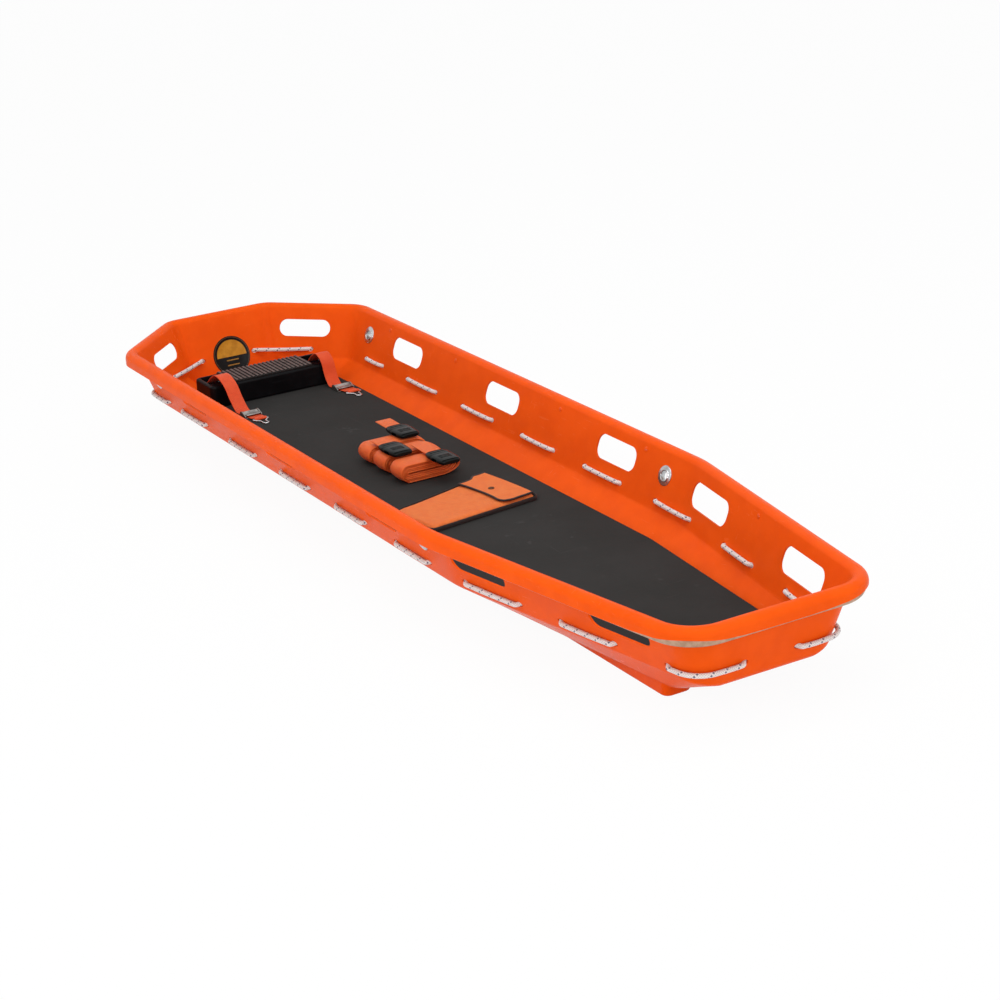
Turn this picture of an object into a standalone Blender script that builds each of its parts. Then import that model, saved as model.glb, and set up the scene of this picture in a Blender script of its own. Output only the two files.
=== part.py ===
# Basket stretcher: a moulded shell with a rolled rim over an alloy tube, laced rope, lifting
# eyelets, mattress, adjustable footrest, three rolled patient straps and a strap pouch.
# Metres, +Z up, +X towards the tapered head end, +Y to the patient's right as they lie.
import math

import bmesh
import bpy
from mathutils import Matrix, Vector

for old in list(bpy.data.objects):
    bpy.data.objects.remove(old, do_unlink=True)

# Fits
gap = 0.0003              # between pieces that touch
running_gap = 0.0004      # between pieces that slide or turn

# Rim, measured along the centre of its roll
rim_half_length = 1.09
rim_half_width = 0.2947
foot_half_width = 0.1228
foot_panel_length = 0.1693    # how far the angled foot panels run along X
head_half_width = 0.1869
head_taper_length = 0.6321
rim_top = 0.19
roll_radius = 0.0153
lip_drop = 0.026          # rim top to the lip's lower edge
head_corner_radius = 0.075
bend_radius = 0.30
shoulder_radius = 0.065
foot_corner_radius = 0.045
least_corner_radius = 0.03

# Shell below the rim
shell_wall = 0.004
side_crease_inset = 0.0533
side_crease_height = 0.072
head_crease_inset = 0.040
head_crease_height = 0.060
foot_crease_inset = 0.0592
foot_crease_height = 0.0365
floor_inset = 0.108
head_floor_spread = 0.036    # how much wider the floor stays at the head than a parallel inset
floor_height = 0.035
crease_fillet = 0.012
floor_fillet = 0.020

# Moulded runners
runner_centre = 0.100
runner_width = 0.056
runner_draft = 0.006
runner_setback = 0.15      # from the rim's end to the runner's
runner_shoulder_height = 0.054

# Facets of the shell's section and of round pieces
roll_steps = 6
crease_steps = 3
floor_steps = 2
small_round_sides = 10
round_sides = 16
cut_reach = 0.010         # how far a cutter runs past the middle of the wall
cavity_rim_inset = 0.030  # keeps the runners' cutter clear of the rim

# Hand holes: width, height and height above the floor; their places are shares of the straight
# side from shoulder to bend, or distances from the rim's nearer end
hand_hole_height = 0.050
hand_hole_width = 0.135
hand_hole_centre = 0.140
hand_hole_corner = 0.020
side_hand_holes = (0.19854, 0.50174, 0.81946)
taper_hole_width = 0.145
taper_hole_centre = 0.136
taper_hand_holes = (0.545, 0.190)
foot_hole_width = 0.127
foot_hole_height = 0.040
foot_hole_centre = 0.137
foot_hand_hole = 0.095
slot_corner_steps = 3

# Perimeter rope, with its holes' places given as the hand holes' are
rope_diameter = 0.009
rope_hole_radius = 0.0082
rope_height = 0.090
rope_clearance = 0.0005
rope_step = 0.005         # along the wall, from a hole's centre to where the rope turns
rope_side_holes = (0.07667, 0.13107, 0.22175, 0.31242, 0.40164, 0.49013, 0.58081, 0.66785,
                   0.75490, 0.84557, 0.93624)
rope_taper_holes = (0.600, 0.456, 0.350, 0.220, 0.095)
rope_panel_hole = 0.118
rope_foot_hole = 0.068
rope_head_hole = 0.055
rope_hole_sides = 8

# Alloy rim tube
tube_wall = 0.0015
tube_centre_height = 0.1655
tube_butt_gap = 0.0008

# Lifting eyelets
eyelet_bore_radius = 0.0095
eyelet_barrel_radius = 0.0125
eyelet_flange_radius = 0.0200
eyelet_flange_thickness = 0.0022
eyelet_washer_thickness = 0.0018
eyelet_peen = 0.0012
eyelet_peen_spread = 0.0016
eyelet_edge = 0.001
eyelet_height = 0.140
eyelet_from_shoulder = 0.0907
eyelet_from_bend = 0.0799

# Tube rivets
rivet_radius = 0.0024
rivet_head_radius = 0.0048
rivet_head_thickness = 0.0014
rivet_height = 0.1700
rivet_sides = 8
rivet_side_places = (0.13107, 0.34868, 0.66060, 0.88546)     # shares of the straight side
rivet_taper_place = 0.37      # from the head end
crown_share = 0.7         # top radius of a domed rivet or snap head, of its full radius

# Mattress
mattress_thickness = 0.0197
mattress_margin = 0.0025
mattress_edge_round = 0.006
mattress_edge_steps = 3

# Round label on the foot wall
label_radius = 0.0465
label_thickness = 0.0012
label_side = 0.008
label_height = 0.0893
label_sides = 32

# Footrest
footrest_reach = 0.290    # from the rim's foot end to the footrest's front
footrest_depth = 0.095
footrest_width = 0.310
footrest_height = 0.050
footrest_edge = 0.006
tread_width = 0.205
tread_depth = 0.086
tread_plate = 0.0025
rib_height = 0.0030
rib_count = 20
rib_gap = 0.0030          # between two ribs at their roots
rib_flank = 0.0012        # run of a rib's sloping side
pocket_centre = 0.1275
pocket_width = 0.036
pocket_length = 0.052
pocket_depth = 0.022
anchor_radius = 0.0035
anchor_setback = 0.012    # behind the middle of the footrest
anchor_seat = 0.004       # how deep the bar's ends sit in the footrest

# Footrest straps: distances along X from the anchor to the crest, down to rest and to the end
strap_width = 0.032
strap_thickness = 0.0020
strap_crest = 0.0225      # above the footrest's top
strap_runs = {"left": (0.046, 0.080, 0.102, 0.122, 0.139, 0.192),
              "right": (0.042, 0.063, 0.073, 0.085, 0.099, 0.150)}
strap_falls = (1.0, 0.80, 0.37, 0.05, 0.0, 0.0)
strap_wrap = (250, 210, 170, 130, 95)     # degrees round the anchor
strap_lift_off = (2.2, 2.0)     # where it clears the anchor, in radii of its wrap
strap_steps = 2
strap_drift = {"left": 0.15, "right": 0.20}     # sideways shift towards +Y, per metre of run
buckle_length = 0.030
buckle_cheek = 0.0020
buckle_cheek_height = 0.0095
buckle_floor = 0.0016
buckle_from_end = 0.034   # from the strap's end to the middle of the buckle
lever_hub_radius = 0.0036
lever_length = 0.022
lever_thickness = 0.0022
lever_hub_angles = range(90, 331, 30)
pin_setback = 0.006       # behind the middle of the buckle
cam_pin_radius = 0.0016
hook_wire_radius = 0.0018
hook_length = 0.036
hook_nose = 0.006         # half width of the nose, on the wire's centre
hook_heel = 0.004         # straight part beside the strap's end
hook_throat = 0.0162      # from the bar to where the sides meet the nose
hook_nose_corner = 0.0042

# Rolled patient straps
hank_width = 0.050
hank_length = 0.155
hank_height = 0.045
hank_pitch = 0.0043
hank_turns = 4
hank_arc_steps = 8
webbing_thickness = 0.0024
hank_middle = 0.012
hank_places = (-0.256, -0.190, -0.118)

# Side-release clips on the patient straps
clip_width = 0.052
clip_length = 0.048
clip_height = 0.0120
clip_wall = 0.0022
clip_side_wall = 0.0045
clip_edge = 0.003
clip_base_length = 0.026
clip_tongue_length = 0.036
clip_places = ((-0.277, 0.043), (-0.186, -0.024), (-0.083, 0.030))
tail_lengths = (0.050, 0.036, 0.066)
tail_width = 0.036
tail_steps = 4

# Pouch, in its own turned frame
pouch_centre = (0.085, -0.020)
pouch_turn = math.radians(10.9)
pouch_length = 0.262
pouch_near_width = 0.132
pouch_far_width = 0.170
pouch_thickness = 0.014
pouch_corner = 0.012
pouch_edge = 0.005
pouch_edge_steps = 2
pouch_corner_steps = 3
flap_thickness = 0.0022
flap_reach = 0.090
flap_scoop = 0.012
flap_scoop_steps = 8
stud_radius = 0.0065
stud_height = 0.0022
stud_inset = 0.052        # from the far edge
socket_radius = 0.0055
socket_thickness = 0.0010


# Materials
def material(name, color, roughness, metallic=0.0):
    made = bpy.data.materials.new(name)
    made.use_nodes = True
    shader = made.node_tree.nodes["Principled BSDF"]
    shader.inputs["Base Color"].default_value = (*color, 1.0)
    shader.inputs["Roughness"].default_value = roughness
    shader.inputs["Metallic"].default_value = metallic
    return made


orange_shell = material("orange_shell", (0.90, 0.13, 0.015), 0.38)
alloy = material("alloy", (0.72, 0.72, 0.74), 0.35, 1.0)
steel = material("steel", (0.62, 0.63, 0.65), 0.28, 1.0)
rope_white = material("rope_white", (0.82, 0.82, 0.86), 0.85)
dark_foam = material("dark_foam", (0.050, 0.049, 0.047), 0.90)
black_plastic = material("black_plastic", (0.015, 0.015, 0.016), 0.50)
orange_webbing = material("orange_webbing", (0.85, 0.12, 0.02), 0.80)
orange_cloth = material("orange_cloth", (0.88, 0.22, 0.06), 0.85)
label_face = material("label_face", (0.25, 0.14, 0.02), 0.45)


# Building blocks
def new_object(name, bm, look):
    bmesh.ops.recalc_face_normals(bm, faces=bm.faces)
    mesh = bpy.data.meshes.new(name)
    bm.to_mesh(mesh)
    bm.free()
    made = bpy.data.objects.new(name, mesh)
    bpy.context.scene.collection.objects.link(made)
    if look:
        mesh.materials.append(look)
    return made


def loft(name, rings, look, wrap=False):
    """Skin over rings of points; the ends are capped, or joined when the rings wrap round."""
    bm = bmesh.new()
    rows = [[bm.verts.new(point) for point in ring] for ring in rings]
    count = len(rows[0])
    pairs = list(zip(rows[:-1], rows[1:]))
    if wrap:
        pairs.append((rows[-1], rows[0]))
    for low, high in pairs:
        for i in range(count):
            j = (i + 1) % count
            bm.faces.new((low[i], low[j], high[j], high[i]))
    if not wrap:
        bm.faces.new(rows[0])
        bm.faces.new(rows[-1])
    return new_object(name, bm, look)


def block(name, low, high, look, edge=0.0, segments=2):
    """A box between two corners, its edges rounded."""
    bm = bmesh.new()
    bmesh.ops.create_cube(bm, size=1.0)
    middle = (Vector(low) + Vector(high)) / 2
    for vert in bm.verts:
        vert.co = Vector(v * (h - l) for v, l, h in zip(vert.co, low, high)) + middle
    if edge:
        bmesh.ops.bevel(bm, geom=bm.edges[:], offset=edge, segments=segments, profile=0.5,
                        affect='EDGES', clamp_overlap=True)
    return new_object(name, bm, look)


def circle(radius, sides, turn=0.0):
    step = 2 * math.pi / sides
    return [(radius * math.cos(turn + i * step), radius * math.sin(turn + i * step))
            for i in range(sides)]


def turned(name, profile, sides, look, place, wrap=False):
    """Turn (radius, height) points about the local Z axis of a placing matrix."""
    rings = [[place @ Vector((x, y, height)) for x, y in circle(radius, sides)]
             for radius, height in profile]
    made = loft(name, rings, look, wrap)
    smooth(made)
    return made


def smooth(made, angle=math.radians(35)):
    made.data.shade_smooth()
    made.data.set_sharp_from_angle(angle=angle)


def as_cutter(made):
    made.hide_render = True
    made.display_type = 'WIRE'
    return made


def boolean(target, tool, operation):
    step = target.modifiers.new(tool.name, 'BOOLEAN')
    step.operation = operation
    step.solver = 'EXACT'
    step.object = tool


def joined_cutter(name, pieces):
    """One cutter from separate bodies."""
    bm = bmesh.new()
    for piece in pieces:
        piece.data.transform(piece.matrix_world)
        bm.from_mesh(piece.data)
        bpy.data.objects.remove(piece, do_unlink=True)
    mesh = bpy.data.meshes.new(name)
    bm.to_mesh(mesh)
    bm.free()
    made = bpy.data.objects.new(name, mesh)
    bpy.context.scene.collection.objects.link(made)
    return as_cutter(made)


def fillet(before, corner, after, radius, steps):
    """Points of the arc that rounds a corner of a flat outline."""
    a = (Vector(before) - Vector(corner)).normalized()
    b = (Vector(after) - Vector(corner)).normalized()
    half = a.angle(b) / 2
    reach = radius / math.tan(half)
    start = Vector(corner) + a * reach
    middle = Vector(corner) + (a + b).normalized() * (radius / math.sin(half))
    arm = start - middle
    sweep = math.pi - 2 * half
    if a.x * b.y - a.y * b.x > 0:
        sweep = -sweep
    points = []
    for i in range(steps + 1):
        turn = Matrix.Rotation(sweep * i / steps, 2)
        points.append(middle + turn @ arm)
    return points


def rounded_levels(bottom, top, radius, steps):
    """(inset, height) of the rings of a body whose lower and upper edges are rounded."""
    quarter = [math.pi / 2 * i / steps for i in range(steps + 1)]
    low = [(radius * (1 - math.sin(a)), bottom + radius * (1 - math.cos(a))) for a in quarter]
    high = [(radius * (1 - math.cos(a)), top - radius * (1 - math.sin(a))) for a in quarter]
    return low + high


def meet(a, s, b, t):
    """Where two lines in a plane cross."""
    return a + s * ((b - a).cross(t) / s.cross(t))


def spline(points, steps):
    """A smooth curve through points, with a number of steps between each two."""
    run = [Vector(p) for p in points]
    run = [run[0] * 2 - run[1]] + run + [run[-1] * 2 - run[-2]]
    curve = []
    for a, b, c, d in zip(run[:-3], run[1:-2], run[2:-1], run[3:]):
        for i in range(steps):
            t = i / steps
            curve.append(0.5 * (2 * b + (c - a) * t + (2 * a - 5 * b + 4 * c - d) * t * t
                                + (3 * b - a - 3 * c + d) * t * t * t))
    curve.append(run[-2])
    return curve


def ribbon(name, path, across, width, thickness, look):
    """A flat band along a path of points, its width on one direction."""
    rings = []
    for i, point in enumerate(path):
        ahead = path[min(i + 1, len(path) - 1)] - path[max(i - 1, 0)]
        rise = ahead.cross(across).normalized() * thickness / 2
        side = across * width / 2
        rings.append([point + rise - side, point + rise + side, point - rise + side,
                      point - rise - side])
    band = loft(name, rings, look)
    smooth(band)
    return band


# Plan of the shell: straight edges with rounded corners
roll_height = rim_top - roll_radius
lip_height = rim_top - lip_drop
shoulder_x = foot_panel_length - rim_half_length
bend_x = rim_half_length - head_taper_length
runner_half_length = rim_half_length - runner_setback
plan_corners = [Vector(p) for p in (
    (rim_half_length, -head_half_width), (rim_half_length, head_half_width),
    (bend_x, rim_half_width), (shoulder_x, rim_half_width),
    (-rim_half_length, foot_half_width), (-rim_half_length, -foot_half_width),
    (shoulder_x, -rim_half_width), (bend_x, -rim_half_width))]
corner_radii = (head_corner_radius, head_corner_radius, bend_radius, shoulder_radius,
                foot_corner_radius, foot_corner_radius, shoulder_radius, bend_radius)
corner_steps = (8, 8, 3, 5, 5, 5, 5, 3)
head_edge, taper_far, side_far, panel_far, foot_edge, panel_near, side_near, taper_near = range(8)
edge_kinds = ("head", "side", "side", "side", "foot", "side", "side", "side")
head_corners = (0, 1)


def edge_line(edge):
    start = plan_corners[edge]
    along = (plan_corners[(edge + 1) % 8] - start).normalized()
    return start, along, Vector((-along.y, along.x))


def inset_corner(corner, insets):
    """Where two edges meet when set in by their own amounts; the floor stays wide at the head."""
    before = (corner - 1) % 8
    a, s, m = edge_line(before)
    b, t, n = edge_line(corner)
    point = meet(a + m * insets[edge_kinds[before]], s, b + n * insets[edge_kinds[corner]], t)
    if corner in head_corners:
        share = (insets["side"] - side_crease_inset) / (floor_inset - side_crease_inset)
        spread = head_floor_spread * min(max(share, 0.0), 1.0)
        point.y += math.copysign(spread, point.y)
    return point


def corner_arc(corner, insets, heights):
    """The rounded corner between two edges, each at its own inset and height."""
    before, at, after = (inset_corner((corner + k) % 8, insets) for k in (-1, 0, 1))
    kind_in, kind_out = edge_kinds[(corner - 1) % 8], edge_kinds[corner]
    inset = (insets[kind_in] + insets[kind_out]) / 2
    radius = max(corner_radii[corner] - inset, least_corner_radius)
    steps = corner_steps[corner]
    arc = fillet(before, at, after, radius, steps)
    low, high = heights[kind_in], heights[kind_out]
    return [Vector((p.x, p.y, low + (high - low) * i / steps)) for i, p in enumerate(arc)]


def plan_ring(insets, heights):
    return [p for corner in range(8) for p in corner_arc(corner, insets, heights)]


def level_ring(inset, height):
    kinds = dict.fromkeys(edge_kinds, inset)
    return plan_ring(kinds, dict.fromkeys(edge_kinds, height))


# Section of the shell wall, as (inset from the rim's centre, height)
crease = {"side": Vector((side_crease_inset, side_crease_height)),
          "head": Vector((head_crease_inset, head_crease_height)),
          "foot": Vector((foot_crease_inset, foot_crease_height))}


def wall_lean(kind):
    """Angle of the wall's normal above the horizontal: the wall is tangent to the roll."""
    reach = crease[kind] - Vector((0.0, roll_height))
    return math.atan2(reach.y, reach.x) + math.acos(roll_radius / reach.length)


def surface(kind, depth):
    """One skin of the wall from the lip to the floor, at a depth behind the inner skin."""
    lean = wall_lean(kind)
    radius = roll_radius - depth
    points = [Vector((-radius, lip_height))]
    for i in range(roll_steps + 1):
        angle = math.pi + (lean - math.pi) * i / roll_steps
        points.append(Vector((radius * math.cos(angle), roll_height + radius * math.sin(angle))))
    floor = Vector((floor_inset, floor_height))
    bilge = (floor - crease[kind]).normalized()
    wall = Vector((math.sin(lean), -math.cos(lean)))
    corner = meet(points[-1], wall, crease[kind] + Vector((bilge.y, -bilge.x)) * depth, bilge)
    edge = meet(corner, bilge, Vector((0.0, floor_height - depth)), Vector((1.0, 0.0)))
    points += fillet(points[-1], corner, edge, crease_fillet + depth,
                     crease_steps)
    points += fillet(corner, edge, edge + Vector((1.0, 0.0)), floor_fillet + depth,
                     floor_steps)
    return points


def wall_inset(kind, height):
    """How far the wall's mid-thickness stands in from the rim's centre at a height."""
    lean = wall_lean(kind)
    skin = (roll_radius - (height - roll_height) * math.sin(lean)) / math.cos(lean)
    return skin - shell_wall / 2 / math.cos(lean)


def wall_station(edge, coordinate, height):
    """Point in the wall's mid-thickness with its along, up and outward directions."""
    start, along, inward = edge_line(edge)
    kind = edge_kinds[edge]
    lean = wall_lean(kind)
    line = start + inward * wall_inset(kind, height)
    axis = 1 if kind in ("head", "foot") else 0
    point = line + along * ((coordinate - line[axis]) / along[axis])
    run = Vector((along.x, along.y, 0.0))
    out = Vector((-inward.x * math.cos(lean), -inward.y * math.cos(lean), -math.sin(lean)))
    return Vector((point.x, point.y, height)), run, out.cross(run), out


def station_matrix(station):
    """Local X along the wall, local Y up it and local Z outward through it."""
    point, run, up, out = station
    turned_axes = Matrix((run, up, out)).transposed()
    return Matrix.Translation(point) @ turned_axes.to_4x4()


def along_side(shares):
    """Places along X at shares of the straight side, from the foot shoulder to the head bend."""
    return [shoulder_x + share * (bend_x - shoulder_x) for share in shares]


def from_head(distances):
    return [rim_half_length - distance for distance in distances]


# Shell
def rounded_slot(width, height, corner):
    """Outline of a hand hole, its corners rounded."""
    x, y = width / 2 - corner, height / 2 - corner
    points = []
    for quarter, (cx, cy) in enumerate(((x, y), (-x, y), (-x, -y), (x, -y))):
        for i in range(slot_corner_steps + 1):
            angle = math.pi / 2 * (quarter + i / slot_corner_steps)
            points.append((cx + corner * math.cos(angle), cy + corner * math.sin(angle)))
    return points


def through_wall(name, outline, station):
    place = station_matrix(station)
    rings = [[place @ Vector((x, y, z)) for x, y in outline] for z in (-cut_reach, cut_reach)]
    return loft(name, rings, None)


def hand_hole_stations():
    for edge in (side_far, side_near):
        for x in along_side(side_hand_holes):
            yield wall_station(edge, x, hand_hole_centre), hand_hole_width, hand_hole_height
    for edge in (taper_far, taper_near):
        for x in from_head(taper_hand_holes):
            yield wall_station(edge, x, taper_hole_centre), taper_hole_width, hand_hole_height
    for edge in (panel_far, panel_near):
        station = wall_station(edge, foot_hand_hole - rim_half_length, foot_hole_centre)
        yield station, foot_hole_width, foot_hole_height


def rope_holes():
    """Stations of the rope's holes in lacing order, from the foot round by +Y and back."""
    side = along_side(rope_side_holes)
    taper = from_head(rope_taper_holes)
    panel_x = rope_panel_hole - rim_half_length
    far = [(foot_edge, rope_foot_hole), (panel_far, panel_x)]
    far += [(side_far, x) for x in side] + [(taper_far, x) for x in taper]
    far.append((head_edge, rope_head_hole))
    near = [(head_edge, -rope_head_hole)]
    near += [(taper_near, x) for x in reversed(taper)] + [(side_near, x) for x in reversed(side)]
    near += [(panel_near, panel_x), (foot_edge, -rope_foot_hole)]
    return far + near


def eyelet_stations():
    places = {"foot": shoulder_x + eyelet_from_shoulder, "head": bend_x - eyelet_from_bend}
    return {f"{end}_{side}": wall_station(edge, x, eyelet_height)
            for end, x in places.items()
            for side, edge in (("right", side_far), ("left", side_near))}


def rivet_stations():
    stations = [wall_station(edge, x, rivet_height)
                for edge in (side_far, side_near) for x in along_side(rivet_side_places)]
    stations += [wall_station(edge, rim_half_length - rivet_taper_place, rivet_height)
                 for edge in (taper_far, taper_near)]
    return stations


def runner_block(name, side, inset, bottom, top):
    """A tapered bar for one runner, or for its hollow when set in by the wall."""
    rings = []
    for x, lean in ((-runner_half_length + inset, -1), (runner_half_length - inset, 1)):
        ring = []
        for z in (bottom, top):
            spread = runner_draft * (z / runner_shoulder_height)
            half = runner_width / 2 - inset + spread
            order = (-half, half) if z == bottom else (half, -half)
            ring += [Vector((x + lean * spread, side * runner_centre + y, z)) for y in order]
        rings.append(ring)
    return loft(name, rings, orange_shell)


def make_shell():
    skins = [{kind: surface(kind, depth) for kind in crease} for depth in (0.0, shell_wall)]
    rows = [(skins[0], i) for i in reversed(range(len(skins[0]["side"])))]
    rows += [(skins[1], i) for i in range(len(skins[1]["side"]))]
    rings = [plan_ring({kind: skin[kind][i].x for kind in skin},
                       {kind: skin[kind][i].y for kind in skin}) for skin, i in rows]
    shell = loft("shell", rings, orange_shell)
    smooth(shell)
    # A runner joins the shell half way through the wall, then is hollowed from above
    mid_skin = {kind: surface(kind, shell_wall / 2) for kind in crease}
    below_roll = roll_steps + 2
    cavity_rows = reversed(range(below_roll, len(mid_skin["side"])))
    cavity_rings = [plan_ring({kind: mid_skin[kind][i].x for kind in mid_skin},
                              {kind: mid_skin[kind][i].y for kind in mid_skin})
                    for i in cavity_rows]
    cavity_rings.append(level_ring(cavity_rim_inset, roll_height))
    cavity = as_cutter(loft("cavity_cut", cavity_rings, None))
    for side, label in ((1, "far"), (-1, "near")):
        bar = as_cutter(runner_block(f"runner_{label}", side, 0.0, 0.0, runner_shoulder_height))
        boolean(bar, cavity, 'DIFFERENCE')
        boolean(shell, bar, 'UNION')
        hollow = as_cutter(runner_block(f"runner_hollow_{label}", side, shell_wall, shell_wall,
                                        runner_shoulder_height + shell_wall))
        boolean(shell, hollow, 'DIFFERENCE')
    slots = [through_wall("slot", rounded_slot(width, height, min(hand_hole_corner, height / 2 - gap)),
                          station) for station, width, height in hand_hole_stations()]
    boolean(shell, joined_cutter("hand_hole_cut", slots), 'DIFFERENCE')
    laced = [through_wall("hole", circle(rope_hole_radius, rope_hole_sides, math.pi / rope_hole_sides),
                          wall_station(edge, along, rope_height)) for edge, along in rope_holes()]
    laced += [through_wall("hole", circle(eyelet_barrel_radius + gap, round_sides), station)
              for station in eyelet_stations().values()]
    laced += [through_wall("hole", circle(rivet_radius + gap, rivet_sides), station)
              for station in rivet_stations()]
    boolean(shell, joined_cutter("round_hole_cut", laced), 'DIFFERENCE')


# Alloy tube under the roll, bent from one length that butts at the foot end
def make_rim_tube():
    outer = roll_radius - shell_wall - gap
    inner = outer - tube_wall
    path = level_ring(0.0, tube_centre_height)
    butt = Vector((-rim_half_length, 0.0, tube_centre_height))
    half_gap = Vector((0.0, tube_butt_gap / 2, 0.0))
    first_near = sum(s + 1 for s in corner_steps[:5])
    path = [butt - half_gap] + path[first_near:] + path[:first_near] + [butt + half_gap]
    rings = []
    for radius, points in ((outer, path), (inner, path[::-1])):
        for i, point in enumerate(points):
            k = i if radius == outer else len(path) - 1 - i
            ahead = path[min(k + 1, len(path) - 1)] - path[max(k - 1, 0)]
            side = Vector((ahead.y, -ahead.x, 0.0)).normalized()
            rings.append([point + side * x + Vector((0.0, 0.0, z))
                          for x, z in circle(radius, 8, math.pi / 8)])
    tube = loft("rim_tube", rings, alloy, wrap=True)
    smooth(tube, math.radians(50))


def make_rivets():
    """Blind rivets through the wall's top into the tube."""
    seat = shell_wall / 2 + gap
    for number, station in enumerate(rivet_stations(), 1):
        point, run, up, out = station
        reach = rivet_reach(point, out)
        profile = ((rivet_radius, reach), (rivet_radius, -seat), (rivet_head_radius, -seat),
                   (rivet_head_radius * crown_share, -seat - rivet_head_thickness))
        turned(f"tube_rivet_{number}", profile, rivet_sides, alloy, station_matrix(station))


def rivet_reach(point, out):
    """Distance through the wall to just short of the tube."""
    outer = roll_radius - shell_wall - gap
    inset = wall_inset("side", rivet_height)
    drop = point.z - tube_centre_height
    level = math.hypot(out.x, out.y)
    reach = 0.0
    while math.hypot(inset - reach * level, drop + reach * out.z) > outer + gap:
        reach += 0.0001
    return reach


# Rope laced through the wall
def rope_route():
    depth = shell_wall / 2 + rope_clearance + rope_diameter / 2
    insets = {}
    heights = {}
    for kind in crease:
        lean = wall_lean(kind)
        insets[kind] = wall_inset(kind, rope_height) - depth * math.cos(lean)
        heights[kind] = rope_height - depth * math.sin(lean)
    round_corners = {(panel_far, side_far): corner_arc(3, insets, heights)[::-1],
                     (taper_far, head_edge): corner_arc(1, insets, heights)[::-1],
                     (head_edge, taper_near): corner_arc(0, insets, heights)[::-1],
                     (side_near, panel_near): corner_arc(6, insets, heights)[::-1]}
    route = []
    holes = rope_holes()
    outside = True
    for i, (edge, along) in enumerate(holes):
        point, run, up, out = wall_station(edge, along, rope_height)
        travel = -run
        sign = 1 if outside else -1
        route.append(point - travel * rope_step + out * depth * sign)
        route.append(point + travel * rope_step - out * depth * sign)
        outside = not outside
        following = holes[(i + 1) % len(holes)][0]
        if outside and (edge, following) in round_corners:
            route += round_corners[(edge, following)]
    return route


def make_rope():
    curve = bpy.data.curves.new("perimeter_rope", 'CURVE')
    curve.dimensions = '3D'
    curve.bevel_depth = rope_diameter / 2
    curve.bevel_resolution = 2
    run = curve.splines.new('POLY')
    points = rope_route()
    run.points.add(len(points) - 1)
    for slot, point in zip(run.points, points):
        slot.co = (*point, 1.0)
    run.use_cyclic_u = True
    curve.materials.append(rope_white)
    rope = bpy.data.objects.new("perimeter_rope", curve)
    bpy.context.scene.collection.objects.link(rope)


# Lifting eyelets: a flanged barrel from inside, a washer and a peened edge outside
def make_eyelets():
    seat = shell_wall / 2 + gap
    washer_back = seat + eyelet_washer_thickness
    barrel_end = washer_back + gap
    for label, station in eyelet_stations().items():
        place = station_matrix(station)
        profile = ((eyelet_bore_radius, -seat - eyelet_flange_thickness),
                   (eyelet_flange_radius - eyelet_edge, -seat - eyelet_flange_thickness),
                   (eyelet_flange_radius, -seat - eyelet_flange_thickness / 2),
                   (eyelet_flange_radius, -seat), (eyelet_barrel_radius, -seat),
                   (eyelet_barrel_radius, barrel_end),
                   (eyelet_barrel_radius + eyelet_peen_spread, barrel_end + eyelet_peen / 2),
                   (eyelet_barrel_radius, barrel_end + eyelet_peen),
                   (eyelet_bore_radius, barrel_end + eyelet_peen))
        turned(f"lifting_eyelet_{label}", profile, round_sides, steel, place, wrap=True)
        washer = ((eyelet_barrel_radius + gap, seat), (eyelet_flange_radius, seat),
                  (eyelet_flange_radius, washer_back), (eyelet_barrel_radius + gap, washer_back))
        turned(f"eyelet_washer_{label}", washer, round_sides, steel, place, wrap=True)


# Mattress
mattress_bottom = floor_height + gap
mattress_top = mattress_bottom + mattress_thickness


def make_mattress():
    inset = floor_inset + mattress_margin
    rings = [level_ring(inset + drawn_in, height) for drawn_in, height in rounded_levels(
        mattress_bottom, mattress_top, mattress_edge_round, mattress_edge_steps)]
    mattress = loft("mattress", rings, dark_foam)
    smooth(mattress)


# Label on the foot wall
def make_label():
    station = wall_station(foot_edge, label_side, label_height)
    seat = shell_wall / 2 + gap
    profile = ((label_radius, -seat), (label_radius, -seat - label_thickness))
    turned("label_disc", profile, label_sides, label_face, station_matrix(station))


# Footrest
footrest_front = footrest_reach - rim_half_length
footrest_back = footrest_front - footrest_depth
footrest_bottom = mattress_top + gap
footrest_top = footrest_bottom + footrest_height
anchor_x = footrest_front - footrest_depth / 2 - anchor_setback
anchor_height = footrest_top - pocket_depth / 2


def make_footrest():
    half = footrest_width / 2
    body = block("footrest_body", (footrest_back, -half, footrest_bottom),
                 (footrest_front, half, footrest_top), black_plastic, footrest_edge)
    smooth(body)
    for side, label in ((1, "right"), (-1, "left")):
        middle = side * pocket_centre
        pocket = block(f"pocket_{label}",
                       (anchor_x - pocket_length / 2, middle - pocket_width / 2,
                        footrest_top - pocket_depth),
                       (anchor_x + pocket_length / 2, middle + pocket_width / 2,
                        footrest_top + pocket_depth), None)
        boolean(body, as_cutter(pocket), 'DIFFERENCE')
        reach = pocket_width / 2 + anchor_seat
        hole = turned(f"anchor_hole_{label}", ((anchor_radius + gap, -reach), (anchor_radius + gap, reach)),
                      small_round_sides, None, anchor_matrix(side))
        boolean(body, as_cutter(hole), 'DIFFERENCE')
        reach -= gap
        turned(f"strap_anchor_{label}", ((anchor_radius, -reach), (anchor_radius, reach)),
               small_round_sides, steel, anchor_matrix(side))
    make_tread()


def anchor_matrix(side):
    place = Matrix.Translation((anchor_x, side * pocket_centre, anchor_height))
    return place @ Matrix.Rotation(math.pi / 2, 4, 'X')


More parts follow.
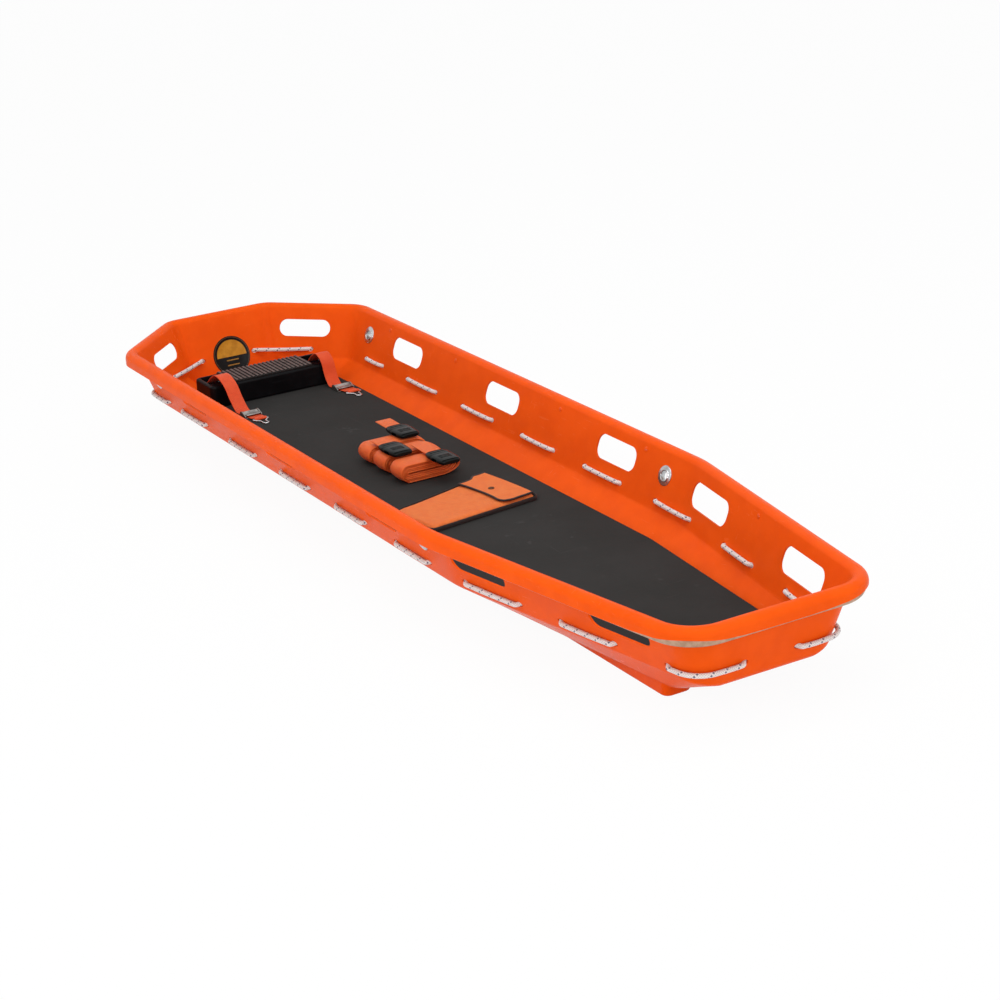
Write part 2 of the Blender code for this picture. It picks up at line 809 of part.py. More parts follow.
def make_tread():
    """Ribbed pad: one outline with a rib for each pitch, drawn out from back to front."""
    low = footrest_top + gap
    back = footrest_back + (footrest_depth - tread_depth) / 2
    half = tread_width / 2
    pitch = tread_width / rib_count
    outline = [(-half, low), (half, low)]
    for i in reversed(range(rib_count)):
        start = i * pitch - half + rib_gap / 2
        end = (i + 1) * pitch - half - rib_gap / 2
        root = low + tread_plate
        outline += [(end, root), (end - rib_flank, root + rib_height),
                    (start + rib_flank, root + rib_height), (start, root)]
    rings = [[Vector((x, y, z)) for y, z in outline] for x in (back, back + tread_depth)]
    loft("footrest_tread", rings, black_plastic)


# Footrest straps, each with a cam buckle and an end hook
strap_rest = mattress_top + gap + buckle_floor + gap + strap_thickness / 2
strap_sides = {"left": -1, "right": 1}


def strap_middle(label, along):
    """Sideways place of a strap at a distance along X from its anchor."""
    clear = pocket_length / 2
    return strap_sides[label] * pocket_centre + strap_drift[label] * max(along - clear, 0.0)


def make_strap(label):
    loop_radius = anchor_radius + gap + strap_thickness / 2
    points = [(loop_radius * math.cos(math.radians(a)),
               anchor_height + loop_radius * math.sin(math.radians(a)))
              for a in strap_wrap]
    points.append((loop_radius * strap_lift_off[0], anchor_height + loop_radius * strap_lift_off[1]))
    crest = footrest_top + strap_crest - strap_rest
    points += [(along, strap_rest + crest * fall)
               for along, fall in zip(strap_runs[label], strap_falls)]
    path = [Vector((anchor_x + p.x, strap_middle(label, p.x), p.y)) for p in spline(points, strap_steps)]
    ribbon(f"footrest_strap_{label}", path, Vector((0.0, 1.0, 0.0)), strap_width,
           strap_thickness, orange_webbing)


def buckle_middle(label):
    along = strap_runs[label][-1] - buckle_from_end
    return Vector((anchor_x + along, strap_middle(label, along), strap_rest))


def across_matrix(point):
    """Local Z along the world's Y, for pins that lie across the basket."""
    return Matrix.Translation(point) @ Matrix.Rotation(-math.pi / 2, 4, 'X')


pin_height = strap_thickness / 2 + gap + lever_hub_radius


def make_cam_buckle(label):
    middle = buckle_middle(label)
    drift = strap_drift[label] * buckle_length / 2
    inner = strap_width / 2 + drift + running_gap
    outer = inner + buckle_cheek
    low = -strap_thickness / 2 - gap - buckle_floor
    outline = ((-outer, low), (outer, low), (outer, buckle_cheek_height),
               (inner, buckle_cheek_height), (inner, low + buckle_floor),
               (-inner, low + buckle_floor), (-inner, buckle_cheek_height),
               (-outer, buckle_cheek_height))
    rings = [[middle + Vector((x, y, z)) for y, z in outline]
             for x in (-buckle_length / 2, buckle_length / 2)]
    frame = loft(f"cam_buckle_{label}", rings, steel)
    pin_at = middle + Vector((-pin_setback, 0.0, pin_height))
    reach = outer + buckle_cheek
    bore = turned(f"cam_pin_cut_{label}", ((cam_pin_radius + gap, -reach), (cam_pin_radius + gap, reach)),
                  small_round_sides, None, across_matrix(pin_at))
    boolean(frame, as_cutter(bore), 'DIFFERENCE')
    turned(f"cam_pin_{label}", ((cam_pin_radius, -outer), (cam_pin_radius, outer)),
           small_round_sides, steel, across_matrix(pin_at))
    make_cam_lever(label, pin_at, inner - running_gap, bore)


def make_cam_lever(label, pin_at, half_width, bore):
    """Hub round the pin with a thumb plate that lies forward over the strap."""
    hub = [(lever_hub_radius * math.cos(math.radians(a)),
            lever_hub_radius * math.sin(math.radians(a))) for a in lever_hub_angles]
    tip = lever_thickness / 2
    outline = hub + [(lever_length, -tip), (lever_length, tip)]
    rings = [[Vector((x, y, z)) for x, z in outline] for y in (-half_width, half_width)]
    lever = loft(f"cam_lever_{label}", rings, steel)
    lever.location = pin_at
    boolean(lever, bore, 'DIFFERENCE')


def make_hook(label):
    """A flat hook bent from wire: a bar across the strap's end and a narrow nose."""
    along = strap_runs[label][-1]
    bar = strap_width / 2 + hook_wire_radius
    start = Vector((hook_wire_radius + gap, 0.0, 0.0))
    height = mattress_top + gap + hook_wire_radius
    curve = bpy.data.curves.new(f"strap_hook_{label}", 'CURVE')
    curve.dimensions = '3D'
    curve.bevel_depth = hook_wire_radius
    curve.bevel_resolution = 1
    run = curve.splines.new('POLY')
    half = [(0.0, bar), (hook_heel, bar), (hook_throat, hook_nose),
            (hook_length - hook_nose_corner, hook_nose), (hook_length, hook_nose - hook_nose_corner)]
    shape = [(x, -y) for x, y in half] + half[::-1]
    run.points.add(len(shape) - 1)
    for slot, (x, y) in zip(run.points, shape):
        slot.co = (x, y, 0.0, 1.0)
    run.use_cyclic_u = True
    curve.materials.append(steel)
    hook = bpy.data.objects.new(f"strap_hook_{label}", curve)
    bpy.context.scene.collection.objects.link(hook)
    hook.location = start + Vector((anchor_x + along, strap_middle(label, along), height))


# Patient straps, rolled flat with the webbing's edges towards the head and foot ends
hank_base = mattress_top + gap
hank_top = hank_base + hank_height - hank_pitch / 2


def hank_path(x):
    """A flat spiral of one unbroken band, from its outer end inward."""
    outer = hank_height / 2 - webbing_thickness / 2
    straight = hank_length / 2 - hank_height / 2
    middle = hank_base + hank_height / 2
    path = [Vector((x, hank_middle - straight, middle - outer)),
            Vector((x, hank_middle, middle - outer))]
    for half_turn in range(2 * hank_turns):
        side = 1 if half_turn % 2 == 0 else -1
        for i in range(hank_arc_steps + 1):
            swept = half_turn + i / hank_arc_steps
            radius = outer - hank_pitch * swept / 2
            angle = math.pi * (swept - 0.5)
            path.append(Vector((x, hank_middle + side * straight + radius * math.cos(angle),
                                middle + radius * math.sin(angle))))
    return path


def least_gap(path, thickness):
    """Least distance of a wound band to itself, measured between its points."""
    turn = 2 * (hank_arc_steps + 1)
    return min((a - b).length for i, a in enumerate(path)
               for b in path[i + turn - 4:]) - thickness


def make_hanks():
    for number, x in enumerate(hank_places, 1):
        path = hank_path(x)
        ribbon(f"patient_strap_{number}", path, Vector((1.0, 0.0, 0.0)), hank_width,
               webbing_thickness, orange_webbing)
        print(f"patient_strap_{number}: least gap to itself "
              f"{least_gap(path, webbing_thickness) * 1000:.2f} mm")


# Side-release clips: the socket end pulls off along +X
clip_middle = hank_top + gap + clip_height / 2


def make_clip(number):
    x, y = clip_places[number - 1]
    half = clip_width / 2
    low = clip_middle - clip_height / 2
    high = clip_middle + clip_height / 2
    socket = block(f"clip_socket_{number}", (x, y - half, low), (x + clip_length, y + half, high),
                   black_plastic, clip_edge, 1)
    inner = half - clip_side_wall
    room = clip_height / 2 - clip_wall
    cavity = block(f"clip_cavity_{number}", (x - clip_wall, y - inner, clip_middle - room),
                   (x + clip_tongue_length + running_gap, y + inner, clip_middle + room), None)
    boolean(socket, as_cutter(cavity), 'DIFFERENCE')
    back = x - running_gap
    base = block(f"clip_tongue_{number}", (back - clip_base_length, y - half, low),
                 (back, y + half, high), black_plastic, clip_edge, 1)
    tongue = block(f"tongue_add_{number}",
                   (back - clip_wall, y - inner + running_gap, clip_middle - room + running_gap),
                   (x + clip_tongue_length, y + inner - running_gap,
                    clip_middle + room - running_gap), None)
    boolean(base, as_cutter(tongue), 'UNION')
    end = back - clip_base_length - gap
    tail = [Vector((end - tail_lengths[number - 1] * k / tail_steps, y, clip_middle))
            for k in range(tail_steps + 1)]
    ribbon(f"strap_tail_{number}", tail, Vector((0.0, 1.0, 0.0)), tail_width,
           webbing_thickness, orange_webbing)


# Pouch with a snap flap
pouch_base = mattress_top + gap
pouch_top = pouch_base + pouch_thickness
pouch_place = (Matrix.Translation((*pouch_centre, 0.0))
               @ Matrix.Rotation(pouch_turn, 4, 'Z'))
pouch_far_edge = pouch_length / 2


def pouch_outline(inset, height):
    """The pouch's plan with round corners, set in by an amount, at a height."""
    near, far = pouch_near_width / 2, pouch_far_width / 2
    corners = [Vector(p) for p in ((-near, -pouch_far_edge), (near, -pouch_far_edge),
                                   (far, pouch_far_edge), (-far, pouch_far_edge))]
    points = []
    for i, corner in enumerate(corners):
        inner = Vector((corner.x - math.copysign(inset, corner.x),
                        corner.y - math.copysign(inset, corner.y)))
        before = corners[i - 1] - corner
        after = corners[(i + 1) % 4] - corner
        points += fillet(inner + before, inner, inner + after, pouch_corner, pouch_corner_steps)
    return [pouch_place @ Vector((p.x, p.y, height)) for p in points]


def make_pouch():
    levels = rounded_levels(pouch_base, pouch_top, pouch_edge, pouch_edge_steps)
    body = loft("pouch_body", [pouch_outline(*level) for level in levels], orange_cloth)
    smooth(body)
    stud_y = pouch_far_edge - stud_inset
    snap = pouch_place @ Matrix.Translation((0.0, stud_y, 0.0))
    depth = socket_thickness + gap
    recess = turned("socket_recess", ((socket_radius + gap, pouch_top - depth),
                                      (socket_radius + gap, pouch_top + depth)),
                    round_sides, None, snap)
    boolean(body, as_cutter(recess), 'DIFFERENCE')
    turned("snap_socket", ((socket_radius, pouch_top - socket_thickness),
                           (socket_radius, pouch_top)), round_sides, steel, snap)
    make_flap(snap)


def make_flap(snap):
    """The flap lies on the pouch and its near edge has a shallow scoop."""
    low = pouch_top + gap
    high = low + flap_thickness
    half = pouch_far_width / 2 - pouch_edge
    tip = pouch_far_edge - flap_reach
    outline = [(-half, tip)]
    shares = [i / flap_scoop_steps for i in range(1, flap_scoop_steps)]
    outline += [(half * (2 * share - 1), tip + flap_scoop * math.sin(math.pi * share))
                for share in shares]
    outline += [(half, tip), (half, pouch_far_edge), (-half, pouch_far_edge)]
    rings = [[pouch_place @ Vector((x, y, z)) for x, y in outline] for z in (low, high)]
    loft("pouch_flap", rings, orange_cloth)
    turned("snap_stud", ((stud_radius, high + gap), (stud_radius, high + gap + stud_height / 2),
                         (stud_radius * crown_share, high + gap + stud_height)),
           round_sides, steel, snap)


make_shell()
make_rim_tube()
make_rivets()
make_rope()
make_eyelets()
make_mattress()
make_label()
make_footrest()
for strap in strap_sides:
    make_strap(strap)
    make_cam_buckle(strap)
    make_hook(strap)
make_hanks()
for clip in (1, 2, 3):
    make_clip(clip)
make_pouch()
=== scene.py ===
import math
import random
import bmesh
import bpy
from mathutils import Matrix, Quaternion, Vector, noise


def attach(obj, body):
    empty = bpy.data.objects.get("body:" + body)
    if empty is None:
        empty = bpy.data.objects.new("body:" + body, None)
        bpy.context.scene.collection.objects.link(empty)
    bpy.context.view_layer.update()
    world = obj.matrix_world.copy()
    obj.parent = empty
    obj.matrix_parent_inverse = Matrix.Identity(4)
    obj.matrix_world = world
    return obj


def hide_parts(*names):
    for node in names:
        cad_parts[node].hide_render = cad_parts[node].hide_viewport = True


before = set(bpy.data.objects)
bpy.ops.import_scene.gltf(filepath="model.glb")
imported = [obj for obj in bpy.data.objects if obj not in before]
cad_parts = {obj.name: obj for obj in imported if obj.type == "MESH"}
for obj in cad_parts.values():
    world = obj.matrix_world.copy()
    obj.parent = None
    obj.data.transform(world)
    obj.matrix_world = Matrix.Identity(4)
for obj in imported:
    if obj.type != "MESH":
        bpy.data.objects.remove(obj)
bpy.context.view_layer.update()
print("frame loaded,", len(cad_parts), "nodes")

# the camera stands where the photo was taken from, off the near head corner
shot = {"azimuth": 59.97, "elevation": 20.76, "roll": -2.895,
        "place": (3.80244, -2.08099, 1.67701), "lens": 82.9, "sensor": 36.0}
# each lamp: place, size, power and the point it is aimed at
lamps = {"overhead": ((0.6, -0.2, 3.2), (3.6, 2.6), 46.0, (0.0, 0.0, 0.0)),
         "nearSide": ((1.8, -3.0, 2.6), (2.6, 1.4), 27.0, (0.1, 0.0, 0.1)),
         "headEnd": ((4.2, 1.0, 1.9), (1.0, 1.2), 20.0, (0.6, 0.0, 0.1)),
         "leftGlint": ((0.42, -3.33, 0.51), (0.35, 0.35), 9.0, (1.07, -0.22, 0.18)),
         "rightGlint": ((4.20, -0.56, 0.77), (0.35, 0.35), 9.0, (1.07, -0.22, 0.18))}
studio = {"ambient": 0.62, "floorWhite": 0.86, "floorGlow": 0.95, "floorSize": 60.0,
          "floorGap": 0.0004}

# plan of the basket: the rim's polygon and how each edge is cut into stations
plan = {"halfLength": 1.09, "halfWidth": 0.2947, "footHalf": 0.1228, "panelLength": 0.1693,
        "headHalf": 0.1869, "taperLength": 0.6321,
        "cornerRadii": (0.075, 0.075, 0.30, 0.065, 0.045, 0.045, 0.065, 0.30),
        "cornerSteps": (14, 14, 6, 10, 9, 9, 10, 6), "edgeSteps": (6, 10, 20, 4, 4, 4, 20, 10),
        "leastRadius": 0.03, "headFull": 0.025, "headSpread": 0.036}
headEdge, taperFar, sideFar, panelFar, footEdge, panelNear, sideNear, taperNear = range(8)
edgeKinds = ("head", "side", "side", "side", "foot", "side", "side", "side")
# section of the wall: the crease of each kind of edge as (inset, height), then the floor
section = {"rimTop": 0.19, "roll": 0.0153, "lipDrop": 0.0274, "lipNotch": 0.0090, "notchSpan": 0.070,
           "wall": 0.004,
           "side": (0.0533, 0.072), "head": (0.040, 0.060), "foot": (0.0592, 0.0365),
           "floorInset": 0.108, "floorHeight": 0.035, "creaseFillet": 0.012, "floorFillet": 0.020,
           "rollSteps": 14, "creaseSteps": 5, "floorSteps": 4}
kinds = ("side", "head", "foot")
touch = 0.0003   # the gap between pieces that lie on each other


# handling of pieces
def restSelection():
    if bpy.context.object and bpy.context.object.mode != 'OBJECT':
        bpy.ops.object.mode_set(mode='OBJECT')
    bpy.ops.object.select_all(action='DESELECT')


def takeUp(piece):
    restSelection()
    piece.select_set(True)
    bpy.context.view_layer.objects.active = piece


def selectWhole(taken=True):
    bpy.ops.mesh.select_all(action='SELECT' if taken else 'DESELECT')


def openUp(piece, mode='VERT'):
    takeUp(piece)
    bpy.ops.object.mode_set(mode='EDIT')
    bpy.ops.mesh.select_mode(type=mode)
    selectWhole(False)
    return bmesh.from_edit_mesh(piece.data)


def closeUp():
    bpy.ops.object.mode_set(mode='OBJECT')


def movePoints(piece, move):
    for vert in openUp(piece).verts:
        vert.co = move(vert.co.copy())
    bmesh.update_edit_mesh(piece.data)
    closeUp()


def bevelWhere(piece, test, width, segments):
    mesh = openUp(piece, 'EDGE')
    for edge in mesh.edges:
        edge.select_set(test(edge, *(vert.co for vert in edge.verts)))
    bmesh.update_edit_mesh(piece.data)
    bpy.ops.mesh.bevel(offset=width, segments=segments, affect='EDGES')
    closeUp()


def fixInPlace(piece):
    takeUp(piece)
    bpy.ops.object.transform_apply(location=True, rotation=True, scale=True)


def applyAll(piece):
    takeUp(piece)
    for step in list(piece.modifiers):
        bpy.ops.object.modifier_apply(modifier=step.name)


def modify(piece, kind, **settings):
    step = piece.modifiers.new(kind.lower(), kind)
    for name, value in settings.items():
        setattr(step, name, value)
    applyAll(piece)


def combine(piece, tool, operation='DIFFERENCE'):
    modify(piece, 'BOOLEAN', operation=operation, solver='EXACT', object=tool)
    bpy.data.objects.remove(tool, do_unlink=True)


def joinAll(name, parts):
    takeUp(parts[0])
    for part in parts[1:]:
        part.select_set(True)
    bpy.ops.object.join()
    joined = bpy.context.object
    joined.name = name
    return joined


def outward(piece):
    openUp(piece)
    selectWhole()
    bpy.ops.mesh.normals_make_consistent(inside=False)
    closeUp()


def shade(piece, degrees=35):
    takeUp(piece)
    bpy.ops.object.shade_smooth_by_angle(angle=math.radians(degrees))


def shadeRound(piece):
    takeUp(piece)
    bpy.ops.object.shade_smooth()


def softenEdges(piece, width, degrees=38, segments=2):
    modify(piece, 'BEVEL', width=width, segments=segments, limit_method='ANGLE',
           angle_limit=math.radians(degrees), use_clamp_overlap=True)
    shade(piece)
    modify(piece, 'WEIGHTED_NORMAL', keep_sharp=True, weight=60)


def hand(piece, name, body, slotName, look, *stood):
    piece.name = name
    piece.data.name = name
    piece.data.materials.clear()
    piece.data.materials.append(look)
    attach(piece, body)
    if stood:
        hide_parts(*stood)
    return piece


# a skin over rings of points, drawn out ring by ring; its UV map is in metres round and along
def skin(name, rings, wrap=False, measured=False):
    count = len(rings[0])
    if wrap:
        rings = rings + [rings[0]]
    restSelection()
    bpy.ops.mesh.primitive_circle_add(vertices=count, radius=1.0, calc_uvs=False)
    piece = bpy.context.object
    piece.name = name
    bpy.ops.object.mode_set(mode='EDIT')
    bpy.ops.mesh.select_mode(type='EDGE')
    selectWhole()
    mesh = bmesh.from_edit_mesh(piece.data)
    mesh.verts.ensure_lookup_table()
    seats = {}
    for j, point in enumerate(rings[0]):
        mesh.verts[j].co = point
        seats[j] = (0, j)
    for i, ring in enumerate(rings[1:], 1):
        bpy.ops.mesh.extrude_region()
        mesh = bmesh.from_edit_mesh(piece.data)
        mesh.verts.ensure_lookup_table()
        mesh.verts.index_update()
        for index in range(i * count, (i + 1) * count):
            fresh = mesh.verts[index]
            older = min(edge.other_vert(fresh).index for edge in fresh.link_edges)
            j = seats[older][1]
            fresh.co = ring[j]
            seats[index] = (i, j)
    if measured:
        layUv(mesh, seats, rings, count)
    bmesh.update_edit_mesh(piece.data)
    if not wrap:
        for i in (0, len(rings) - 1):
            selectWhole(False)
            mesh = bmesh.from_edit_mesh(piece.data)
            mesh.verts.ensure_lookup_table()
            for index in range(i * count, (i + 1) * count):
                mesh.verts[index].select_set(True)
            mesh.select_flush(True)
            bmesh.update_edit_mesh(piece.data)
            bpy.ops.mesh.edge_face_add()
    selectWhole()
    if wrap:
        bpy.ops.mesh.remove_doubles(threshold=1e-6)
    bpy.ops.mesh.normals_make_consistent(inside=False)
    closeUp()
    return piece


def layUv(mesh, seats, rings, count):
    across = [0.0]
    for j in range(count):
        across.append(across[-1] + (Vector(rings[0][(j + 1) % count]) - Vector(rings[0][j])).length)
    along = [0.0]
    for low, high in zip(rings[:-1], rings[1:]):
        steps = [(Vector(a) - Vector(b)).length for a, b in zip(low, high)]
        along.append(along[-1] + sum(steps) / count)
    layer = mesh.loops.layers.uv.verify()
    for face in mesh.faces:
        columns = {seats[loop.vert.index][1] for loop in face.loops}
        for loop in face.loops:
            i, j = seats[loop.vert.index]
            around = across[count] if j == 0 and count - 1 in columns else across[j]
            loop[layer].uv = (around, along[i])


# a turned piece: a profile of (radius, height) drawn out from one point and spun
def lathe(name, profile, place, steps):
    restSelection()
    bpy.ops.mesh.primitive_plane_add(size=0.001)
    piece = bpy.context.object
    piece.name = name
    bpy.ops.object.mode_set(mode='EDIT')
    bpy.ops.mesh.select_mode(type='VERT')
    selectWhole()
    bpy.ops.mesh.merge(type='CENTER')
    selectWhole()
    bpy.ops.transform.translate(value=(profile[0][0], 0.0, profile[0][1]))
    for before, after in zip(profile[:-1], profile[1:]):
        step = (after[0] - before[0], 0.0, after[1] - before[1])
        bpy.ops.mesh.extrude_vertices_move(TRANSFORM_OT_translate={"value": step})
    selectWhole()
    bpy.ops.mesh.spin(steps=steps, angle=2 * math.pi, center=(0, 0, 0), axis=(0, 0, 1))
    selectWhole()
    bpy.ops.mesh.remove_doubles(threshold=1e-6)
    bpy.ops.mesh.dissolve_degenerate(threshold=1e-7)
    selectWhole()
    bpy.ops.mesh.normals_make_consistent(inside=False)
    closeUp()
    piece.matrix_world = place
    fixInPlace(piece)
    outward(piece)
    return piece


def turned(profile, place, steps, name, body, slotName, look, *stood):
    piece = lathe(name, profile, place, steps)
    shade(piece, 40)
    return hand(piece, name, body, slotName, look, *stood)


# a block between two corners with its edges rounded
def block(name, low, high, edge=0.0, segments=3):
    restSelection()
    middle = (Vector(low) + Vector(high)) / 2
    size = Vector(high) - Vector(low)
    bpy.ops.mesh.primitive_cube_add(size=1.0, location=middle, scale=size)
    piece = bpy.context.object
    piece.name = name
    fixInPlace(piece)
    if edge:
        openUp(piece, 'EDGE')
        selectWhole()
        bpy.ops.mesh.bevel(offset=edge, segments=segments, affect='EDGES')
        closeUp()
    return piece


def arc(radius, start, end, steps, centre=(0.0, 0.0)):
    angles = [math.radians(start + (end - start) * i / steps) for i in range(steps + 1)]
    return [(centre[0] + radius * math.cos(a), centre[1] + radius * math.sin(a)) for a in angles]


# plan and section as formulas
def fillet(before, corner, after, radius, steps):
    a = (before - corner).normalized()
    b = (after - corner).normalized()
    half = a.angle(b) / 2
    start = corner + a * (radius / math.tan(half))
    middle = corner + (a + b).normalized() * (radius / math.sin(half))
    sweep = math.pi - 2 * half
    if a.x * b.y - a.y * b.x > 0:
        sweep = -sweep
    return [middle + Matrix.Rotation(sweep * i / steps, 2) @ (start - middle)
            for i in range(steps + 1)]


def meet(a, s, b, t):
    return a + s * ((b - a).cross(t) / s.cross(t))


def planCorners():
    head = plan["halfLength"]
    bend = head - plan["taperLength"]
    shoulder = plan["panelLength"] - head
    half = [(head, plan["headHalf"]), (bend, plan["halfWidth"]), (shoulder, plan["halfWidth"]),
            (-head, plan["footHalf"])]
    return [Vector((head, -plan["headHalf"]))] + [Vector(p) for p in half] + \
        [Vector((x, -y)) for x, y in reversed(half[1:])]


corners = planCorners()
rollHeight = section["rimTop"] - section["roll"]
lipHeight = section["rimTop"] - section["lipDrop"]


def edgeLine(edge):
    start = corners[edge]
    along = (corners[(edge + 1) % 8] - start).normalized()
    return start, along, Vector((-along.y, along.x))


def insetCorner(corner, insets):
    before = (corner - 1) % 8
    a, s, m = edgeLine(before)
    b, t, n = edgeLine(corner)
    point = meet(a + m * insets[edgeKinds[before]], s, b + n * insets[edgeKinds[corner]], t)
    if corner < 2:   # the floor stays wide at the head
        crease = section["side"][0]
        share = (insets["side"] - crease) / (section["floorInset"] - crease)
        point.y += math.copysign(plan["headSpread"] * min(max(share, 0.0), 1.0), point.y)
    return point


def cornerArc(corner, insets, heights):
    before, at, after = (insetCorner((corner + k) % 8, insets) for k in (-1, 0, 1))
    kindIn, kindOut = edgeKinds[(corner - 1) % 8], edgeKinds[corner]
    inset = (insets[kindIn] + insets[kindOut]) / 2
    least = plan["leastRadius"]
    if corner < 2:   # the head's corners stay full down to the crease
        share = min(max(inset / section["floorInset"], 0.0), 1.0)
        least += plan["headFull"] * math.sin(math.pi * share)
    radius = max(plan["cornerRadii"][corner] - inset, least)
    steps = plan["cornerSteps"][corner]
    low, high = heights[kindIn], heights[kindOut]
    return [Vector((p.x, p.y, low + (high - low) * i / steps))
            for i, p in enumerate(fillet(before, at, after, radius, steps))]


def planRing(insets, heights):
    arcs = [cornerArc(corner, insets, heights) for corner in range(8)]
    ring = []
    for corner in range(8):
        ring += arcs[corner]
        end, start = arcs[corner][-1], arcs[(corner + 1) % 8][0]
        steps = plan["edgeSteps"][corner]
        ring += [end.lerp(start, i / steps) for i in range(1, steps)]
    return ring


def levelRing(inset, height):
    return planRing(dict.fromkeys(kinds, inset), dict.fromkeys(kinds, height))


def wallLean(kind):
    reach = Vector(section[kind]) - Vector((0.0, rollHeight))
    return math.atan2(reach.y, reach.x) + math.acos(section["roll"] / reach.length)


def wallRows(kind, depth):
    lean = wallLean(kind)
    crease = Vector(section[kind])
    radius = section["roll"] - depth
    points = [Vector((-radius, lipHeight))]
    points += [Vector(p) for p in arc(radius, 180, math.degrees(lean), section["rollSteps"],
                                      (0.0, rollHeight))]
    bilge = (Vector((section["floorInset"], section["floorHeight"])) - crease).normalized()
    wall = Vector((math.sin(lean), -math.cos(lean)))
    corner = meet(points[-1], wall, crease + Vector((bilge.y, -bilge.x)) * depth, bilge)
    edge = meet(corner, bilge, Vector((0.0, section["floorHeight"] - depth)), Vector((1.0, 0.0)))
    points += fillet(points[-1], corner, edge, section["creaseFillet"] + depth, section["creaseSteps"])
    points += fillet(corner, edge, edge + Vector((1.0, 0.0)), section["floorFillet"] + depth,
                     section["floorSteps"])
    return points


def wallInset(kind, height):
    lean = wallLean(kind)
    face = (section["roll"] - (height - rollHeight) * math.sin(lean)) / math.cos(lean)
    return face - section["wall"] / 2 / math.cos(lean)


# local X along the wall, Y up it and Z out through it, in the middle of its thickness
def wallPlace(edge, coordinate, height):
    start, along, inward = edgeLine(edge)
    kind = edgeKinds[edge]
    lean = wallLean(kind)
    line = start + inward * wallInset(kind, height)
    axis = 1 if kind in ("head", "foot") else 0
    point = line + along * ((coordinate - line[axis]) / along[axis])
    run = Vector((along.x, along.y, 0.0))
    out = Vector((-inward.x * math.cos(lean), -inward.y * math.cos(lean), -math.sin(lean)))
    turn = Matrix((run, out.cross(run), out)).transposed().to_4x4()
    return Matrix.Translation((point.x, point.y, height)) @ turn


# node building for materials
def newLook(name, **sockets):
    look = bpy.data.materials.new(name)
    look.use_nodes = True
    shader = look.node_tree.nodes["Principled BSDF"]
    for key, value in sockets.items():
        shader.inputs[key.replace("_", " ")].default_value = value
    return look, look.node_tree, shader


# a node group that takes Vector and the named values, and puts out the named numbers
def newGroup(name, outputs, **inputs):
    tree = bpy.data.node_groups.new(name, 'ShaderNodeTree')
    tree.interface.new_socket(name="Vector", in_out='INPUT', socket_type='NodeSocketVector')
    for key, value in inputs.items():
        kind = 'NodeSocketVector' if isinstance(value, tuple) else 'NodeSocketFloat'
        tree.interface.new_socket(name=key, in_out='INPUT', socket_type=kind).default_value = value
    for key in outputs:
        tree.interface.new_socket(name=key, in_out='OUTPUT', socket_type='NodeSocketFloat')
    return tree, tree.nodes.new('NodeGroupInput').outputs, tree.nodes.new('NodeGroupOutput').inputs


def plug(tree, socket, value):
    if hasattr(value, "is_output"):
        tree.links.new(value, socket)
    elif value is not None:
        socket.default_value = value


def sums(tree, operation, a, b=None):
    node = tree.nodes.new('ShaderNodeMath')
    node.operation = operation
    plug(tree, node.inputs[0], a)
    plug(tree, node.inputs[1], b)
    return node.outputs[0]


def times(tree, a, b):
    return sums(tree, 'MULTIPLY', a, b)


def plus(tree, a, b):
    return sums(tree, 'ADD', a, b)


def split(tree, vector):
    node = tree.nodes.new('ShaderNodeSeparateXYZ')
    plug(tree, node.inputs[0], vector)
    return node.outputs


def spread(tree, value, low, high, newLow=0.0, newHigh=1.0):
    node = tree.nodes.new('ShaderNodeMapRange')
    node.interpolation_type = 'SMOOTHSTEP'
    for key, number in zip((0, 1, 2, 3, 4), (value, low, high, newLow, newHigh)):
        plug(tree, node.inputs[key], number)
    return node.outputs[0]


def grainy(tree, vector, scale, detail=2.0, rough=0.5, distortion=0.0):
    node = tree.nodes.new('ShaderNodeTexNoise')
    plug(tree, node.inputs["Vector"], vector)
    plug(tree, node.inputs["Scale"], scale)
    plug(tree, node.inputs["Detail"], detail)
    plug(tree, node.inputs["Roughness"], rough)
    plug(tree, node.inputs["Distortion"], distortion)
    return node.outputs["Fac"]


def stretched(tree, vector, scale, turn=(0.0, 0.0, 0.0)):
    node = tree.nodes.new('ShaderNodeMapping')
    plug(tree, node.inputs["Vector"], vector)
    node.inputs["Rotation"].default_value = turn
    node.inputs["Scale"].default_value = scale
    return node.outputs["Vector"]


def tint(tree, share, a, b):
    node = tree.nodes.new('ShaderNodeMix')
    node.data_type = 'RGBA'
    plug(tree, node.inputs[0], share)
    plug(tree, node.inputs[6], (*a, 1.0) if isinstance(a, tuple) else a)
    plug(tree, node.inputs[7], (*b, 1.0) if isinstance(b, tuple) else b)
    return node.outputs[2]


def surface(tree, shader, colour, height, depth, rough=None):
    plug(tree, shader.inputs["Base Color"], colour)
    plug(tree, shader.inputs["Roughness"], rough)
    node = tree.nodes.new('ShaderNodeBump')
    node.inputs["Strength"].default_value = 1.0
    node.inputs["Distance"].default_value = depth
    plug(tree, node.inputs["Height"], height)
    plug(tree, shader.inputs["Normal"], node.outputs["Normal"])


def coordinates(tree, kind="Object"):
    return tree.nodes.new('ShaderNodeTexCoord').outputs[kind]


def use(tree, group, **values):
    node = tree.nodes.new('ShaderNodeGroup')
    node.node_tree = group
    for key, value in values.items():
        plug(tree, node.inputs[key], value)
    return node.outputs


